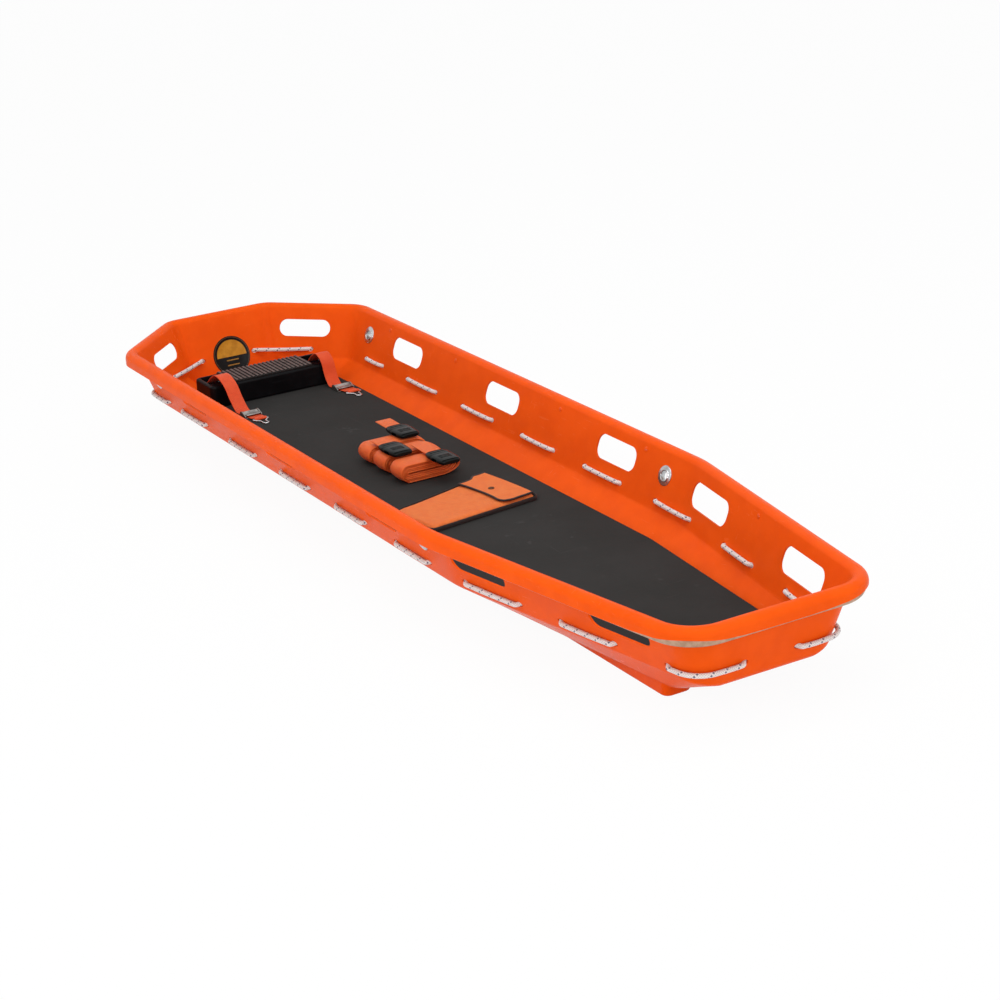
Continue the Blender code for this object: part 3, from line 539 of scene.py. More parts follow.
# effects that several materials share
def grainGroup():
    tree, given, made = newGroup("mouldedGrain", ("Height", "Mottle"), Fineness=900.0, Waves=7.0)
    fine = grainy(tree, given["Vector"], given["Fineness"], 3.0, 0.6)
    waves = grainy(tree, given["Vector"], given["Waves"], 1.0, 0.4)
    height = plus(tree, times(tree, fine, 0.12), times(tree, waves, 0.88))
    plug(tree, made["Height"], height)
    plug(tree, made["Mottle"], grainy(tree, given["Vector"], 16.0, 4.0, 0.6))
    return tree


def scuffGroup():
    tree, given, made = newGroup("scuffs", ("Mask",), Amount=0.5)
    masks = []
    for scale, turn in (((160.0, 6.0, 60.0), 0.5), ((9.0, 190.0, 70.0), -0.3),
                        ((30.0, 30.0, 240.0), 0.2)):
        drawn = stretched(tree, given["Vector"], scale, (turn, turn / 2, turn))
        masks.append(spread(tree, grainy(tree, drawn, 1.0, 2.0, 0.7), 0.66, 0.74))
    both = sums(tree, 'MAXIMUM', sums(tree, 'MAXIMUM', masks[0], masks[1]), masks[2])
    patches = spread(tree, grainy(tree, given["Vector"], 5.0, 2.0, 0.5), 0.42, 0.62)
    plug(tree, made["Mask"], times(tree, times(tree, both, patches), given["Amount"]))
    return tree


# a woven face: ribs across and yarns along, from UV in metres
def weaveGroup():
    tree, given, made = newGroup("weave", ("Height", "Worn"), Across=900.0, Along=700.0)
    across, along = split(tree, given["Vector"])[:2]
    phase = times(tree, times(tree, across, given["Across"]), math.pi)
    rise = times(tree, times(tree, along, given["Along"]), math.pi)
    plain = times(tree, sums(tree, 'SINE', phase), sums(tree, 'SINE', rise))
    yarn = sums(tree, 'ABSOLUTE', sums(tree, 'SINE', phase))
    body = plus(tree, times(tree, plain, 0.35), times(tree, yarn, 0.65))
    plug(tree, made["Height"], body)
    plug(tree, made["Worn"], grainy(tree, given["Vector"], 60.0, 4.0, 0.6))
    return tree


# a braided sheath: strands that cross both ways, and a tracer that shows as dark flecks
def braidGroup():
    tree, given, made = newGroup("braid", ("Height", "Fleck"), Strands=8.0, Girth=0.028, Pitch=0.036)
    x, y = split(tree, given["Vector"])[:2]
    around = sums(tree, 'DIVIDE', x, given["Girth"])
    along = sums(tree, 'DIVIDE', y, given["Pitch"])
    right, left = (times(tree, sums(tree, way, around, along), given["Strands"])
                   for way in ('ADD', 'SUBTRACT'))
    a, b = (sums(tree, 'ABSOLUTE', sums(tree, 'SINE', times(tree, way, math.pi)))
            for way in (right, left))
    plug(tree, made["Height"], times(tree, a, b))
    turn = sums(tree, 'FRACT', sums(tree, 'DIVIDE', right, given["Strands"]))
    strand = sums(tree, 'LESS_THAN', times(tree, turn, given["Strands"]), 1.0)
    over = sums(tree, 'LESS_THAN', sums(tree, 'FRACT', sums(tree, 'DIVIDE', left, 2.0)), 0.5)
    plug(tree, made["Fleck"], times(tree, strand, over))
    return tree


def brushedGroup():
    tree, given, made = newGroup("brushed", ("Height", "Wear"), Stretch=(20.0, 900.0, 900.0))
    lines = tree.nodes.new('ShaderNodeVectorMath')
    lines.operation = 'MULTIPLY'
    plug(tree, lines.inputs[0], given["Vector"])
    plug(tree, lines.inputs[1], given["Stretch"])
    plug(tree, made["Height"], grainy(tree, lines.outputs[0], 1.0, 2.0, 0.6))
    plug(tree, made["Wear"], grainy(tree, given["Vector"], 70.0, 4.0, 0.65))
    return tree


moulded, scuffed, woven, braided, brushed = (make() for make in (
    grainGroup, scuffGroup, weaveGroup, braidGroup, brushedGroup))


# finishes
def shellLook():
    look, tree, shader = newLook("orangePolyethylene", IOR=1.50, Specular_IOR_Level=0.03)
    here = coordinates(tree)
    grain = use(tree, moulded, Vector=here, Fineness=1100.0, Waves=6.0)
    marks = use(tree, scuffed, Vector=here, Amount=0.55)
    colour = tint(tree, spread(tree, grain["Mottle"], 0.3, 0.7),
                  (0.87, 0.091, 0.0045), (0.93, 0.105, 0.0058))
    colour = tint(tree, times(tree, marks["Mask"], 0.30), colour, (0.95, 0.22, 0.06))
    rough = plus(tree, spread(tree, grain["Mottle"], 0.3, 0.7, 0.19, 0.27),
                 times(tree, marks["Mask"], 0.25))
    height = sums(tree, 'SUBTRACT', grain["Height"], times(tree, marks["Mask"], 0.02))
    surface(tree, shader, colour, height, 0.0040, rough)
    return look


def metalLook(name, colour, dark, rough, stretch=(500.0, 500.0, 500.0)):
    look, tree, shader = newLook(name, Metallic=1.0)
    brush = use(tree, brushed, Vector=coordinates(tree), Stretch=stretch)
    worn = spread(tree, brush["Wear"], 0.35, 0.7)
    surface(tree, shader, tint(tree, worn, colour, dark), brush["Height"], 0.00006,
            plus(tree, times(tree, worn, 0.14), rough))
    return look


def ropeLook():
    look, tree, shader = newLook("ropeSheath", Roughness=0.8, Specular_IOR_Level=0.2, Sheen_Weight=0.1)
    here = coordinates(tree, "UV")
    braid = use(tree, braided, Vector=here, Strands=6.0, Girth=0.0283, Pitch=0.026)
    dirt = spread(tree, grainy(tree, here, 30.0, 4.0, 0.6), 0.35, 0.75)
    colour = tint(tree, times(tree, dirt, 0.4), (0.95, 0.90, 0.87), (0.80, 0.72, 0.70))
    colour = tint(tree, braid["Fleck"], colour, (0.10, 0.11, 0.20))
    # painted shade: the colour is darkened in the braid's low grooves between strands
    colour = tint(tree, spread(tree, braid["Height"], 0.20, 0.0), colour, (0.55, 0.48, 0.48))
    surface(tree, shader, colour, braid["Height"], 0.0009)
    return look


def webbingLook(name, bright, deep):
    look, tree, shader = newLook(name, Roughness=0.50, Specular_IOR_Level=0.3, Sheen_Weight=0.06)
    here = coordinates(tree, "UV")
    weave = use(tree, woven, Vector=here, Across=760.0, Along=520.0)
    colour = tint(tree, spread(tree, weave["Worn"], 0.3, 0.72), bright, deep)
    # painted shade: the colour is darkened in the low gaps between the weave's ribs and yarns
    colour = tint(tree, spread(tree, weave["Height"], 0.45, 0.0), colour, tuple(0.45 * c for c in deep))
    surface(tree, shader, colour, weave["Height"], 0.00045)
    return look


def clothLook(name, bright, deep, turn=0.0):
    look, tree, shader = newLook(name, Roughness=0.66, Specular_IOR_Level=0.2, Sheen_Weight=0.06)
    flat = stretched(tree, coordinates(tree), (1.0, 1.0, 1.0), (0.0, 0.0, turn))
    weave = use(tree, woven, Vector=flat, Across=1100.0, Along=1100.0)
    folds = grainy(tree, flat, 22.0, 3.0, 0.55, 0.8)
    colour = tint(tree, spread(tree, weave["Worn"], 0.3, 0.75), bright, deep)
    # painted shade: the colour is darkened in the low gaps between the weave's yarns
    colour = tint(tree, spread(tree, weave["Height"], 0.40, 0.05), colour, tuple(0.6 * c for c in deep))
    height = plus(tree, times(tree, weave["Height"], 0.10), times(tree, folds, 0.9))
    surface(tree, shader, colour, height, 0.0022)
    return look


def foamLook():
    look, tree, shader = newLook("mattressSkin", Specular_IOR_Level=0.06)
    here = coordinates(tree)
    pores = tree.nodes.new('ShaderNodeTexVoronoi')
    plug(tree, pores.inputs["Vector"], here)
    pores.inputs["Scale"].default_value = 620.0
    patches = grainy(tree, here, 6.0, 4.0, 0.6)
    marks = use(tree, scuffed, Vector=here, Amount=0.6)
    colour = tint(tree, spread(tree, patches, 0.3, 0.7), (0.029, 0.029, 0.028), (0.038, 0.037, 0.036))
    colour = tint(tree, times(tree, marks["Mask"], 0.25), colour, (0.11, 0.11, 0.11))
    height = plus(tree, times(tree, pores.outputs["Distance"], 0.06), patches)
    surface(tree, shader, colour, height, 0.0030, spread(tree, patches, 0.3, 0.7, 0.80, 0.92))
    return look


def plasticLook(name, dark, light, rough, depth=0.0005):
    look, tree, shader = newLook(name, IOR=1.49, Specular_IOR_Level=0.07)
    here = coordinates(tree)
    grain = use(tree, moulded, Vector=here, Fineness=1400.0, Waves=30.0)
    marks = use(tree, scuffed, Vector=here, Amount=0.8)
    base = tint(tree, spread(tree, grain["Mottle"], 0.35, 0.7), dark, light)
    colour = tint(tree, times(tree, marks["Mask"], 0.30), base, tuple(c * 5 for c in light))
    surface(tree, shader, colour, grain["Height"], depth,
            spread(tree, grain["Mottle"], 0.3, 0.7, rough - 0.06, rough + 0.07))
    return look


# a generic round tag: dark border, amber above, black below with blank write-in bars
def labelLook():
    look, tree, shader = newLook("roundTag", Roughness=0.32, Specular_IOR_Level=0.12)
    across, up = split(tree, coordinates(tree, "UV"))[:2]
    here = coordinates(tree)
    radius = sums(tree, 'SQRT', plus(tree, times(tree, across, across), times(tree, up, up)))
    inside = spread(tree, radius, 0.815, 0.805)
    upper = spread(tree, up, -0.045, -0.035)
    amber = tint(tree, spread(tree, grainy(tree, here, 60.0, 3.0, 0.6), 0.3, 0.7),
                 (0.44, 0.185, 0.012), (0.58, 0.27, 0.022))
    bars = times(tree, spread(tree, sums(tree, 'ABSOLUTE', across), 0.34, 0.32),
                sums(tree, 'LESS_THAN', sums(tree, 'FRACT', times(tree, up, 4.0)), 0.24))
    bars = times(tree, bars, spread(tree, up, -0.66, -0.65))
    face = tint(tree, bars, (0.005, 0.004, 0.004), (0.34, 0.17, 0.03))
    face = tint(tree, upper, face, amber)
    ring = times(tree, spread(tree, radius, 0.93, 0.935), spread(tree, radius, 0.955, 0.95))
    rim = tint(tree, ring, (0.005, 0.004, 0.004), (0.16, 0.10, 0.05))
    surface(tree, shader, tint(tree, inside, rim, face), grainy(tree, here, 260.0), 0.0002)
    return look


# lacquer in the shell's colour over alloy, chipped here and there
def lacquerLook():
    look, tree, shader = newLook("rivetLacquer", Specular_IOR_Level=0.12)
    here = coordinates(tree)
    chips = spread(tree, grainy(tree, here, 420.0, 3.0, 0.6), 0.62, 0.68)
    colour = tint(tree, spread(tree, grainy(tree, here, 90.0), 0.3, 0.7), (0.80, 0.088, 0.006),
                  (0.88, 0.102, 0.008))
    plug(tree, shader.inputs["Metallic"], chips)
    surface(tree, shader, tint(tree, chips, colour, (0.55, 0.54, 0.52)), grainy(tree, here, 300.0),
            0.0001, spread(tree, chips, 0.0, 1.0, 0.28, 0.42))
    return look


# ribbed rubber: black in the grooves, scuffed to a pale brown on top of the ribs
def treadLook(low, high):
    look, tree, shader = newLook("treadRubber", Specular_IOR_Level=0.14)
    here = coordinates(tree)
    up = split(tree, here)[2]
    dust = spread(tree, grainy(tree, here, 70.0, 4.0, 0.65), 0.22, 0.58)
    worn = times(tree, spread(tree, up, low, high), dust)
    base = tint(tree, spread(tree, grainy(tree, here, 500.0, 3.0), 0.35, 0.7), (0.010, 0.009, 0.009),
                (0.018, 0.015, 0.014))
    surface(tree, shader, tint(tree, worn, base, (0.150, 0.108, 0.100)),
            grainy(tree, here, 900.0, 3.0, 0.6), 0.0003, spread(tree, worn, 0.0, 1.0, 0.48, 0.72))
    return look


orange = shellLook()
alloy = metalLook("millAlloy", (0.56, 0.37, 0.26), (0.42, 0.26, 0.17), 0.40, (30.0, 30.0, 1400.0))
steel = metalLook("platedSteel", (0.60, 0.61, 0.62), (0.36, 0.37, 0.38), 0.20)
dullSteel = metalLook("wornZinc", (0.40, 0.38, 0.36), (0.20, 0.18, 0.17), 0.34)
bronze = metalLook("bronzedSnap", (0.16, 0.060, 0.028), (0.08, 0.032, 0.018), 0.42)
lacquer = lacquerLook()
ropeWhite = ropeLook()
strapOrange = webbingLook("strapWebbing", (0.95, 0.185, 0.028), (0.90, 0.130, 0.018))
footOrange = webbingLook("footrestWebbing", (0.92, 0.105, 0.018), (0.86, 0.078, 0.012))
foam = foamLook()
blockBlack = plasticLook("footrestPlastic", (0.0035, 0.0035, 0.004), (0.006, 0.006, 0.007), 0.36)
clipBlack = plasticLook("clipAcetal", (0.0035, 0.0045, 0.0045), (0.007, 0.009, 0.0085), 0.22, 0.0003)
binding = webbingLook("darkBinding", (0.030, 0.014, 0.012), (0.016, 0.010, 0.010))
tag = labelLook()
print("materials built")


def addCamera():
    bpy.ops.object.camera_add(location=shot["place"])
    camera = bpy.context.object
    camera.name = "photoCamera"
    a, e = math.radians(shot["azimuth"]), math.radians(shot["elevation"])
    back = Vector((math.sin(a) * math.cos(e), -math.cos(a) * math.cos(e), math.sin(e)))
    camera.rotation_mode = 'QUATERNION'
    camera.rotation_quaternion = (-back).to_track_quat('-Z', 'Y') @ Quaternion(
        (0, 0, 1), math.radians(shot["roll"]))
    camera.data.lens = shot["lens"]
    camera.data.sensor_width = shot["sensor"]
    bpy.context.scene.camera = camera


def addLamps():
    for name, (place, size, power, aim) in lamps.items():
        bpy.ops.object.light_add(type='AREA', location=place)
        lamp = bpy.context.object
        lamp.name = name
        lamp.data.shape = 'RECTANGLE'
        lamp.data.size, lamp.data.size_y = size
        lamp.data.energy = power
        lamp.rotation_mode = 'QUATERNION'
        lamp.rotation_quaternion = (Vector(aim) - Vector(place)).to_track_quat('-Z', 'Y')


# camera, glossy and transmission rays see plain white; the rest see the studio's soft light
def seenDirectly(tree):
    paths = tree.nodes.new('ShaderNodeLightPath').outputs
    seen = sums(tree, 'MAXIMUM', paths["Is Camera Ray"], paths["Is Glossy Ray"])
    return sums(tree, 'MAXIMUM', seen, paths["Is Transmission Ray"])


def addStudio():
    world = bpy.data.worlds.new("studio")
    world.use_nodes = True
    bpy.context.scene.world = world
    tree = world.node_tree
    backdrop = tree.nodes["Background"]
    backdrop.inputs["Color"].default_value = (1.0, 1.0, 1.0, 1.0)
    strength = spread(tree, seenDirectly(tree), 0.0, 1.0, studio["ambient"], 1.0)
    plug(tree, backdrop.inputs["Strength"], strength)
    restSelection()
    bpy.ops.mesh.primitive_plane_add(size=studio["floorSize"], location=(0.0, 0.0, -studio["floorGap"]))
    floor = bpy.context.object
    floor.name = "studioFloor"
    look, tree, shader = newLook("floorPaper", Roughness=0.9)
    shader.inputs["Base Color"].default_value = (*[studio["floorWhite"]] * 3, 1.0)
    glow = tree.nodes.new('ShaderNodeEmission')
    mix = tree.nodes.new('ShaderNodeMixShader')
    plug(tree, mix.inputs[0], times(tree, seenDirectly(tree), studio["floorGlow"]))
    tree.links.new(shader.outputs[0], mix.inputs[1])
    tree.links.new(glow.outputs[0], mix.inputs[2])
    tree.links.new(mix.outputs[0], tree.nodes["Material Output"].inputs["Surface"])
    floor.data.materials.append(look)


addCamera()
addLamps()
addStudio()
bpy.context.scene.view_settings.view_transform = 'Standard'
print("camera, lamps and studio stand")

# shell: holes as (edge, place along it, height, width across, height of hole)
shell = {"holes": [(edge, x, 0.140, 0.135, 0.050) for edge in (sideFar, sideNear)
                   for x in (-0.647, -0.229, 0.209)]
         + [(edge, x, 0.136, 0.145, 0.050) for edge in (taperFar, taperNear) for x in (0.545, 0.900)]
         + [(edge, -0.995, 0.137, 0.127, 0.040) for edge in (panelFar, panelNear)],
         "holeCorner": 0.020, "cutReach": 0.010, "edgeRound": 0.0009,
         "runnerCentre": 0.100, "runnerWidth": 0.056, "runnerDraft": 0.006,
         "runnerHalfLength": 0.94, "runnerShoulder": 0.054, "runnerRound": 0.0045,
         "runnerTip": 0.014, "cavityTop": 0.030}
rope = {"diameter": 0.009, "height": 0.090, "clearance": 0.0005, "turn": 0.005, "holeRadius": 0.0082,
        "holeFlat": 0.64,
        "bend": 0.0065, "step": 0.0045, "droop": 0.0012,
        "sideHoles": (-0.815, -0.740, -0.615, -0.490, -0.367, -0.245, -0.120, 0.0,
                      0.120, 0.245, 0.370, 0.490, 0.634, 0.740, 0.870, 0.995),
        "panelHole": -0.972, "footHole": 0.068, "headHole": 0.055}
eyelet = {"bore": 0.0095, "barrel": 0.0125, "flange": 0.0200, "flangeThick": 0.0022,
          "washerThick": 0.0018, "height": 0.140, "places": (-0.830, 0.378),
          "raised": 0.0009, "lipBend": 0.0013,
          "collar": ((-0.0010, -0.0009), (-0.0002, -0.0006), (0.0006, 0.0004), (0.0012, 0.0007)),
          "rim": ((-0.0012, 0.0008), (-0.0004, 0.0011), (0.0, 0.0016)),
          "peened": ((0.0010, 0.0002), (0.0016, 0.0006), (0.0012, 0.0010), (0.0004, 0.0012),
                     (-0.0018, 0.0012))}
rivet = {"radius": 0.0024, "head": 0.0048, "headThick": 0.0014, "stub": 0.0013, "height": 0.1700,
         "side": (-0.74, -0.44, -0.01, 0.30), "taper": (0.72,)}


def ropeHoles():
    bend = plan["halfLength"] - plan["taperLength"]

    def wallOf(x, near):
        if x > bend:
            return taperNear if near else taperFar
        return sideNear if near else sideFar

    far = [(footEdge, rope["footHole"]), (panelFar, rope["panelHole"])]
    far += [(wallOf(x, False), x) for x in rope["sideHoles"]] + [(headEdge, rope["headHole"])]
    near = [(headEdge, -rope["headHole"])]
    near += [(wallOf(x, True), x) for x in reversed(rope["sideHoles"])]
    return far + near + [(panelNear, rope["panelHole"]), (footEdge, -rope["footHole"])]


def eyeletPlaces():
    return {f"{end}_{side}": wallPlace(edge, x, eyelet["height"])
            for end, x in zip(("foot", "head"), eyelet["places"])
            for side, edge in (("right", sideFar), ("left", sideNear))}


def rivetPlaces():
    places = [wallPlace(edge, x, rivet["height"]) for edge in (sideFar, sideNear) for x in rivet["side"]]
    return places + [wallPlace(edge, x, rivet["height"]) for edge in (taperFar, taperNear)
                     for x in rivet["taper"]]


def slotCutter(place, width, height):
    reach = shell["cutReach"]
    cutter = block("slotCutter", (-width / 2, -height / 2, -reach), (width / 2, height / 2, reach))
    bevelWhere(cutter, lambda edge, a, b: abs(a.z - b.z) > reach,
               min(shell["holeCorner"], height / 2 - touch), 8)
    cutter.matrix_world = place
    fixInPlace(cutter)
    return cutter


def roundCutter(place, radius, sides, flat=1.0):
    restSelection()
    bpy.ops.mesh.primitive_cylinder_add(vertices=sides, radius=radius, depth=2 * shell["cutReach"])
    cutter = bpy.context.object
    cutter.matrix_world = place @ Matrix.Diagonal((1.0, flat, 1.0, 1.0))
    fixInPlace(cutter)
    return cutter


# the lip is trimmed higher round the head's corners, where the tube shows
def notchLip(ring):
    for point in ring:
        for side in (-1, 1):
            corner = Vector((plan["halfLength"], side * plan["headHalf"]))
            away = (point.xy - corner).length / section["notchSpan"]
            point.z += section["lipNotch"] * math.exp(-away * away)
    return ring


def runnerBar(side, inset, bottom, top, edge):
    half = shell["runnerWidth"] / 2 - inset
    length = shell["runnerHalfLength"] - inset
    bar = block("runnerBar", (-length, side * shell["runnerCentre"] - half, bottom),
                (length, side * shell["runnerCentre"] + half, top))

    def drafted(spot):   # the top is wider than the foot
        grow = shell["runnerDraft"] * spot.z / shell["runnerShoulder"]
        aside = math.copysign(grow, spot.y - side * shell["runnerCentre"])
        return spot + Vector((math.copysign(grow, spot.x), aside, 0.0))

    movePoints(bar, drafted)
    bevelWhere(bar, lambda line, a, b: abs(a.z - b.z) > top / 2, shell["runnerTip"] - inset, 4)
    bevelWhere(bar, lambda line, a, b: max(a.z, b.z) < bottom + touch, edge, 4)
    return bar


def sectionRing(rows, i):
    return planRing({kind: rows[kind][i].x for kind in kinds}, {kind: rows[kind][i].y for kind in kinds})


def makeShell():
    skins = [{kind: wallRows(kind, depth) for kind in kinds} for depth in (0.0, section["wall"])]
    count = len(skins[0]["side"])
    rows = [(skins[0], i) for i in reversed(range(count))] + [(skins[1], i) for i in range(count)]
    rings = [notchLip(sectionRing(face, i)) if i == 0 else sectionRing(face, i) for face, i in rows]
    basket = skin("basketShell", rings)
    print("shell skin drawn")
    middle = {kind: wallRows(kind, section["wall"] / 2) for kind in kinds}
    belowRoll = section["rollSteps"] + 2
    cavityRings = [sectionRing(middle, i) for i in reversed(range(belowRoll, count))]
    cavityRings.append(levelRing(shell["cavityTop"], rollHeight))
    for side in (1, -1):
        bar = runnerBar(side, 0.0, 0.0, shell["runnerShoulder"], shell["runnerRound"])
        combine(bar, skin("cavityCutter", cavityRings))
        combine(basket, bar, 'UNION')
        wall = section["wall"]
        combine(basket, runnerBar(side, wall, wall, shell["runnerShoulder"] + wall,
                                  shell["runnerRound"] / 2))
    print("runners joined")
    cutters = [slotCutter(wallPlace(edge, x, z), width, height)
               for edge, x, z, width, height in shell["holes"]]
    cutters += [roundCutter(wallPlace(edge, along, rope["height"]), rope["holeRadius"], 20,
                            rope["holeFlat"]) for edge, along in ropeHoles()]
    cutters += [roundCutter(place, eyelet["barrel"] + touch, 32) for place in eyeletPlaces().values()]
    cutters += [roundCutter(place, rivet["radius"] + touch, 16) for place in rivetPlaces()]
    combine(basket, joinAll("holeCutters", cutters))
    softenEdges(basket, shell["edgeRound"])
    hand(basket, "basketShell", "shell", "shell", orange, "shell")
    print("shell cut and finished,", len(basket.data.polygons), "faces")


makeShell()

# routes: loops with rounded corners, even steps and smooth curves through points
def roundLoop(points, radius, steps):
    made = []
    for i, point in enumerate(points):
        a, b = points[i - 1] - point, points[(i + 1) % len(points)] - point
        half = a.angle(b) / 2
        if half > math.radians(88):
            made.append(Vector(point))
            continue
        reach = min(radius / math.tan(half), 0.45 * a.length, 0.45 * b.length)
        a, b = a.normalized(), b.normalized()
        centre = point + (a + b).normalized() * (reach / math.cos(half))
        first, last = point + a * reach - centre, point + b * reach - centre
        length, first, last = first.length, first.normalized(), last.normalized()
        made += [centre + first.slerp(last, k / steps) * length for k in range(steps + 1)]
    return made


def evenPath(points, spacing, closed=False):
    made = []
    for i in range(len(points) if closed else len(points) - 1):
        a, b = points[i], points[(i + 1) % len(points)]
        steps = max(1, round((b - a).length / spacing))
        made += [a.lerp(b, k / steps) for k in range(steps)]
    return made if closed else made + [points[-1]]


def spline(points, steps):
    run = [Vector(p) for p in points]
    run = [run[0] * 2 - run[1]] + run + [run[-1] * 2 - run[-2]]
    curve = []
    for a, b, c, d in zip(run[:-3], run[1:-2], run[2:-1], run[3:]):
        for i in range(steps):
            t = i / steps
            curve.append(0.5 * (2 * b + (c - a) * t + (2 * a - 5 * b + 4 * c - d) * t * t
                                + (3 * b - a - 3 * c + d) * t * t * t))
    return curve + [run[-2]]


# a closed loop of round wire or rope, its UV map in metres round and along
def wire(name, path, radius):
    restSelection()
    bpy.ops.curve.primitive_bezier_curve_add(location=(0, 0, 0))
    piece = bpy.context.object
    piece.name = name
    line = piece.data
    line.dimensions = '3D'
    line.splines.clear()
    run = line.splines.new('POLY')
    run.points.add(len(path) - 1)
    for seat, point in zip(run.points, path):
        seat.co = (*point, 1.0)
    run.use_cyclic_u = True
    line.bevel_depth = radius
    line.bevel_resolution = 5
    takeUp(piece)
    bpy.ops.object.convert(target='MESH')
    piece = bpy.context.object
    outward(piece)
    along = [0.0]
    for a, b in zip(path, path[1:] + path[:1]):
        along.append(along[-1] + (b - a).length)
    for loop in piece.data.uv_layers.active.data:
        loop.uv = (loop.uv[1] * 2 * math.pi * radius, along[round(loop.uv[0] * len(path))])
    shadeRound(piece)
    return piece


# webbing: a flat band with soft edges along a path
def bandSection(width, thick):
    half, edge, columns = width / 2 - thick / 2, thick / 2, 6
    turn = [(half + edge * math.cos(a), edge * math.sin(a)) for a in (0.8, 0.0, -0.8)]
    top = [(-half + 2 * half * k / columns, edge) for k in range(columns + 1)]
    return top + turn + [(-u, -v) for u, v in top] + [(-u, -v) for u, v in turn]


def band(name, path, across, width, thick, shape=None, crown=0.0):
    rings = []
    for i, point in enumerate(path):
        ahead = path[min(i + 1, len(path) - 1)] - path[max(i - 1, 0)]
        rise = ahead.cross(across).normalized()
        scale = shape(i / (len(path) - 1)) if shape else 1.0
        rings.append([point + across * (u * scale) + rise * (v - crown * (2 * u / width) ** 2)
                      for u, v in bandSection(width, thick)])
    piece = skin(name, rings, measured=True)
    shade(piece, 60)
    return piece


tube = {"wall": 0.0015, "height": 0.1655, "buttGap": 0.0008, "sides": 20}


def makeRimTube():
    outer = section["roll"] - section["wall"] - touch
    ring = levelRing(0.0, tube["height"])
    first = sum(plan["cornerSteps"][k] + plan["edgeSteps"][k] for k in range(5))
    butt = Vector((-plan["halfLength"], 0.0, tube["height"]))
    halfGap = Vector((0.0, tube["buttGap"] / 2, 0.0))
    path = [butt - halfGap] + ring[first:] + ring[:first - plan["edgeSteps"][4] + 1] + [butt + halfGap]
    rings = []
    for radius, order in ((outer, 1), (outer - tube["wall"], -1)):
        for i in list(range(len(path)))[::order]:
            ahead = path[min(i + 1, len(path) - 1)] - path[max(i - 1, 0)]
            side = Vector((ahead.y, -ahead.x, 0.0)).normalized()
            rings.append([path[i] + side * x + Vector((0.0, 0.0, z))
                          for x, z in arc(radius, 0, 360, tube["sides"])[:-1]])
    piece = skin("rimTube", rings, wrap=True)
    shade(piece, 50)
    hand(piece, "rimTube", "shell", "rim_tube", alloy, "rim_tube")


def rivetReach(place):
    point, out = place.translation, place.to_3x3() @ Vector((0.0, 0.0, 1.0))
    outer = section["roll"] - section["wall"] - touch
    inset, drop = wallInset("side", rivet["height"]), point.z - tube["height"]
    level, reach = math.hypot(out.x, out.y), 0.0
    while math.hypot(inset - reach * level, drop + reach * out.z) > outer + touch:
        reach += 0.0001
    return reach


# a blind rivet: domed head with the mandrel's stub in its middle
def makeRivets():
    seat = section["wall"] / 2 + touch
    top = seat + rivet["headThick"]
    head, stub, radius = rivet["head"], rivet["stub"], rivet["radius"]
    dome = [(0.0, 0.0002 - top), (0.0009, 0.0002 - top), (0.0011, 0.0005 - top), (stub, -top)]
    dome += [(stub + (head - stub) * x, -seat - rivet["headThick"] * y) for x, y in arc(1.0, 78, 8, 6)]
    for number, place in enumerate(rivetPlaces(), 1):
        reach = rivetReach(place)
        turned(dome + [(head, -seat), (radius, -seat), (radius, reach), (0.0, reach)], place, 20,
               f"tubeRivet_{number}", "shell", "rivet", lacquer, f"tube_rivet_{number}")


def ropeRoute():
    depth = section["wall"] / 2 + rope["clearance"] + rope["diameter"] / 2
    insets, heights = {}, {}
    for kind in kinds:
        lean = wallLean(kind)
        insets[kind] = wallInset(kind, rope["height"]) - depth * math.cos(lean)
        heights[kind] = rope["height"] - depth * math.sin(lean)
    bends = {(panelFar, sideFar): 3, (taperFar, headEdge): 1, (headEdge, taperNear): 0,
             (sideNear, panelNear): 6}
    holes = ropeHoles()
    route, outside = [], True
    for i, (edge, along) in enumerate(holes):
        place = wallPlace(edge, along, rope["height"])
        run, out = (place.to_3x3() @ Vector(v) for v in ((-1, 0, 0), (0, 0, 1)))
        lift = out * depth * (1 if outside else -1)
        route += [place.translation - run * rope["turn"] + lift,
                  place.translation + run * rope["turn"] - lift]
        outside = not outside
        corner = bends.get((edge, holes[(i + 1) % len(holes)][0]))
        if outside and corner is not None:
            route += cornerArc(corner, insets, heights)[::-1]
    return route


# the rope runs out and in through the wall and hangs a little slack between holes
def makeRope():
    random.seed(11)
    route = roundLoop(ropeRoute(), rope["bend"], 5)
    path = []
    for i, point in enumerate(route):
        after = route[(i + 1) % len(route)]
        steps = max(1, round((after - point).length / rope["step"]))
        droop = random.uniform(0.3, 1.0) * rope["droop"] if steps > 6 else 0.0
        for k in range(steps):
            spot = point.lerp(after, k / steps)
            spot.z -= droop * math.sin(math.pi * k / steps)
            path.append(spot)
    piece = wire("perimeterRope", path, rope["diameter"] / 2)
    print("rope drawn,", len(path), "rings")
    hand(piece, "perimeterRope", "shell", "rope", ropeWhite, "perimeter_rope")


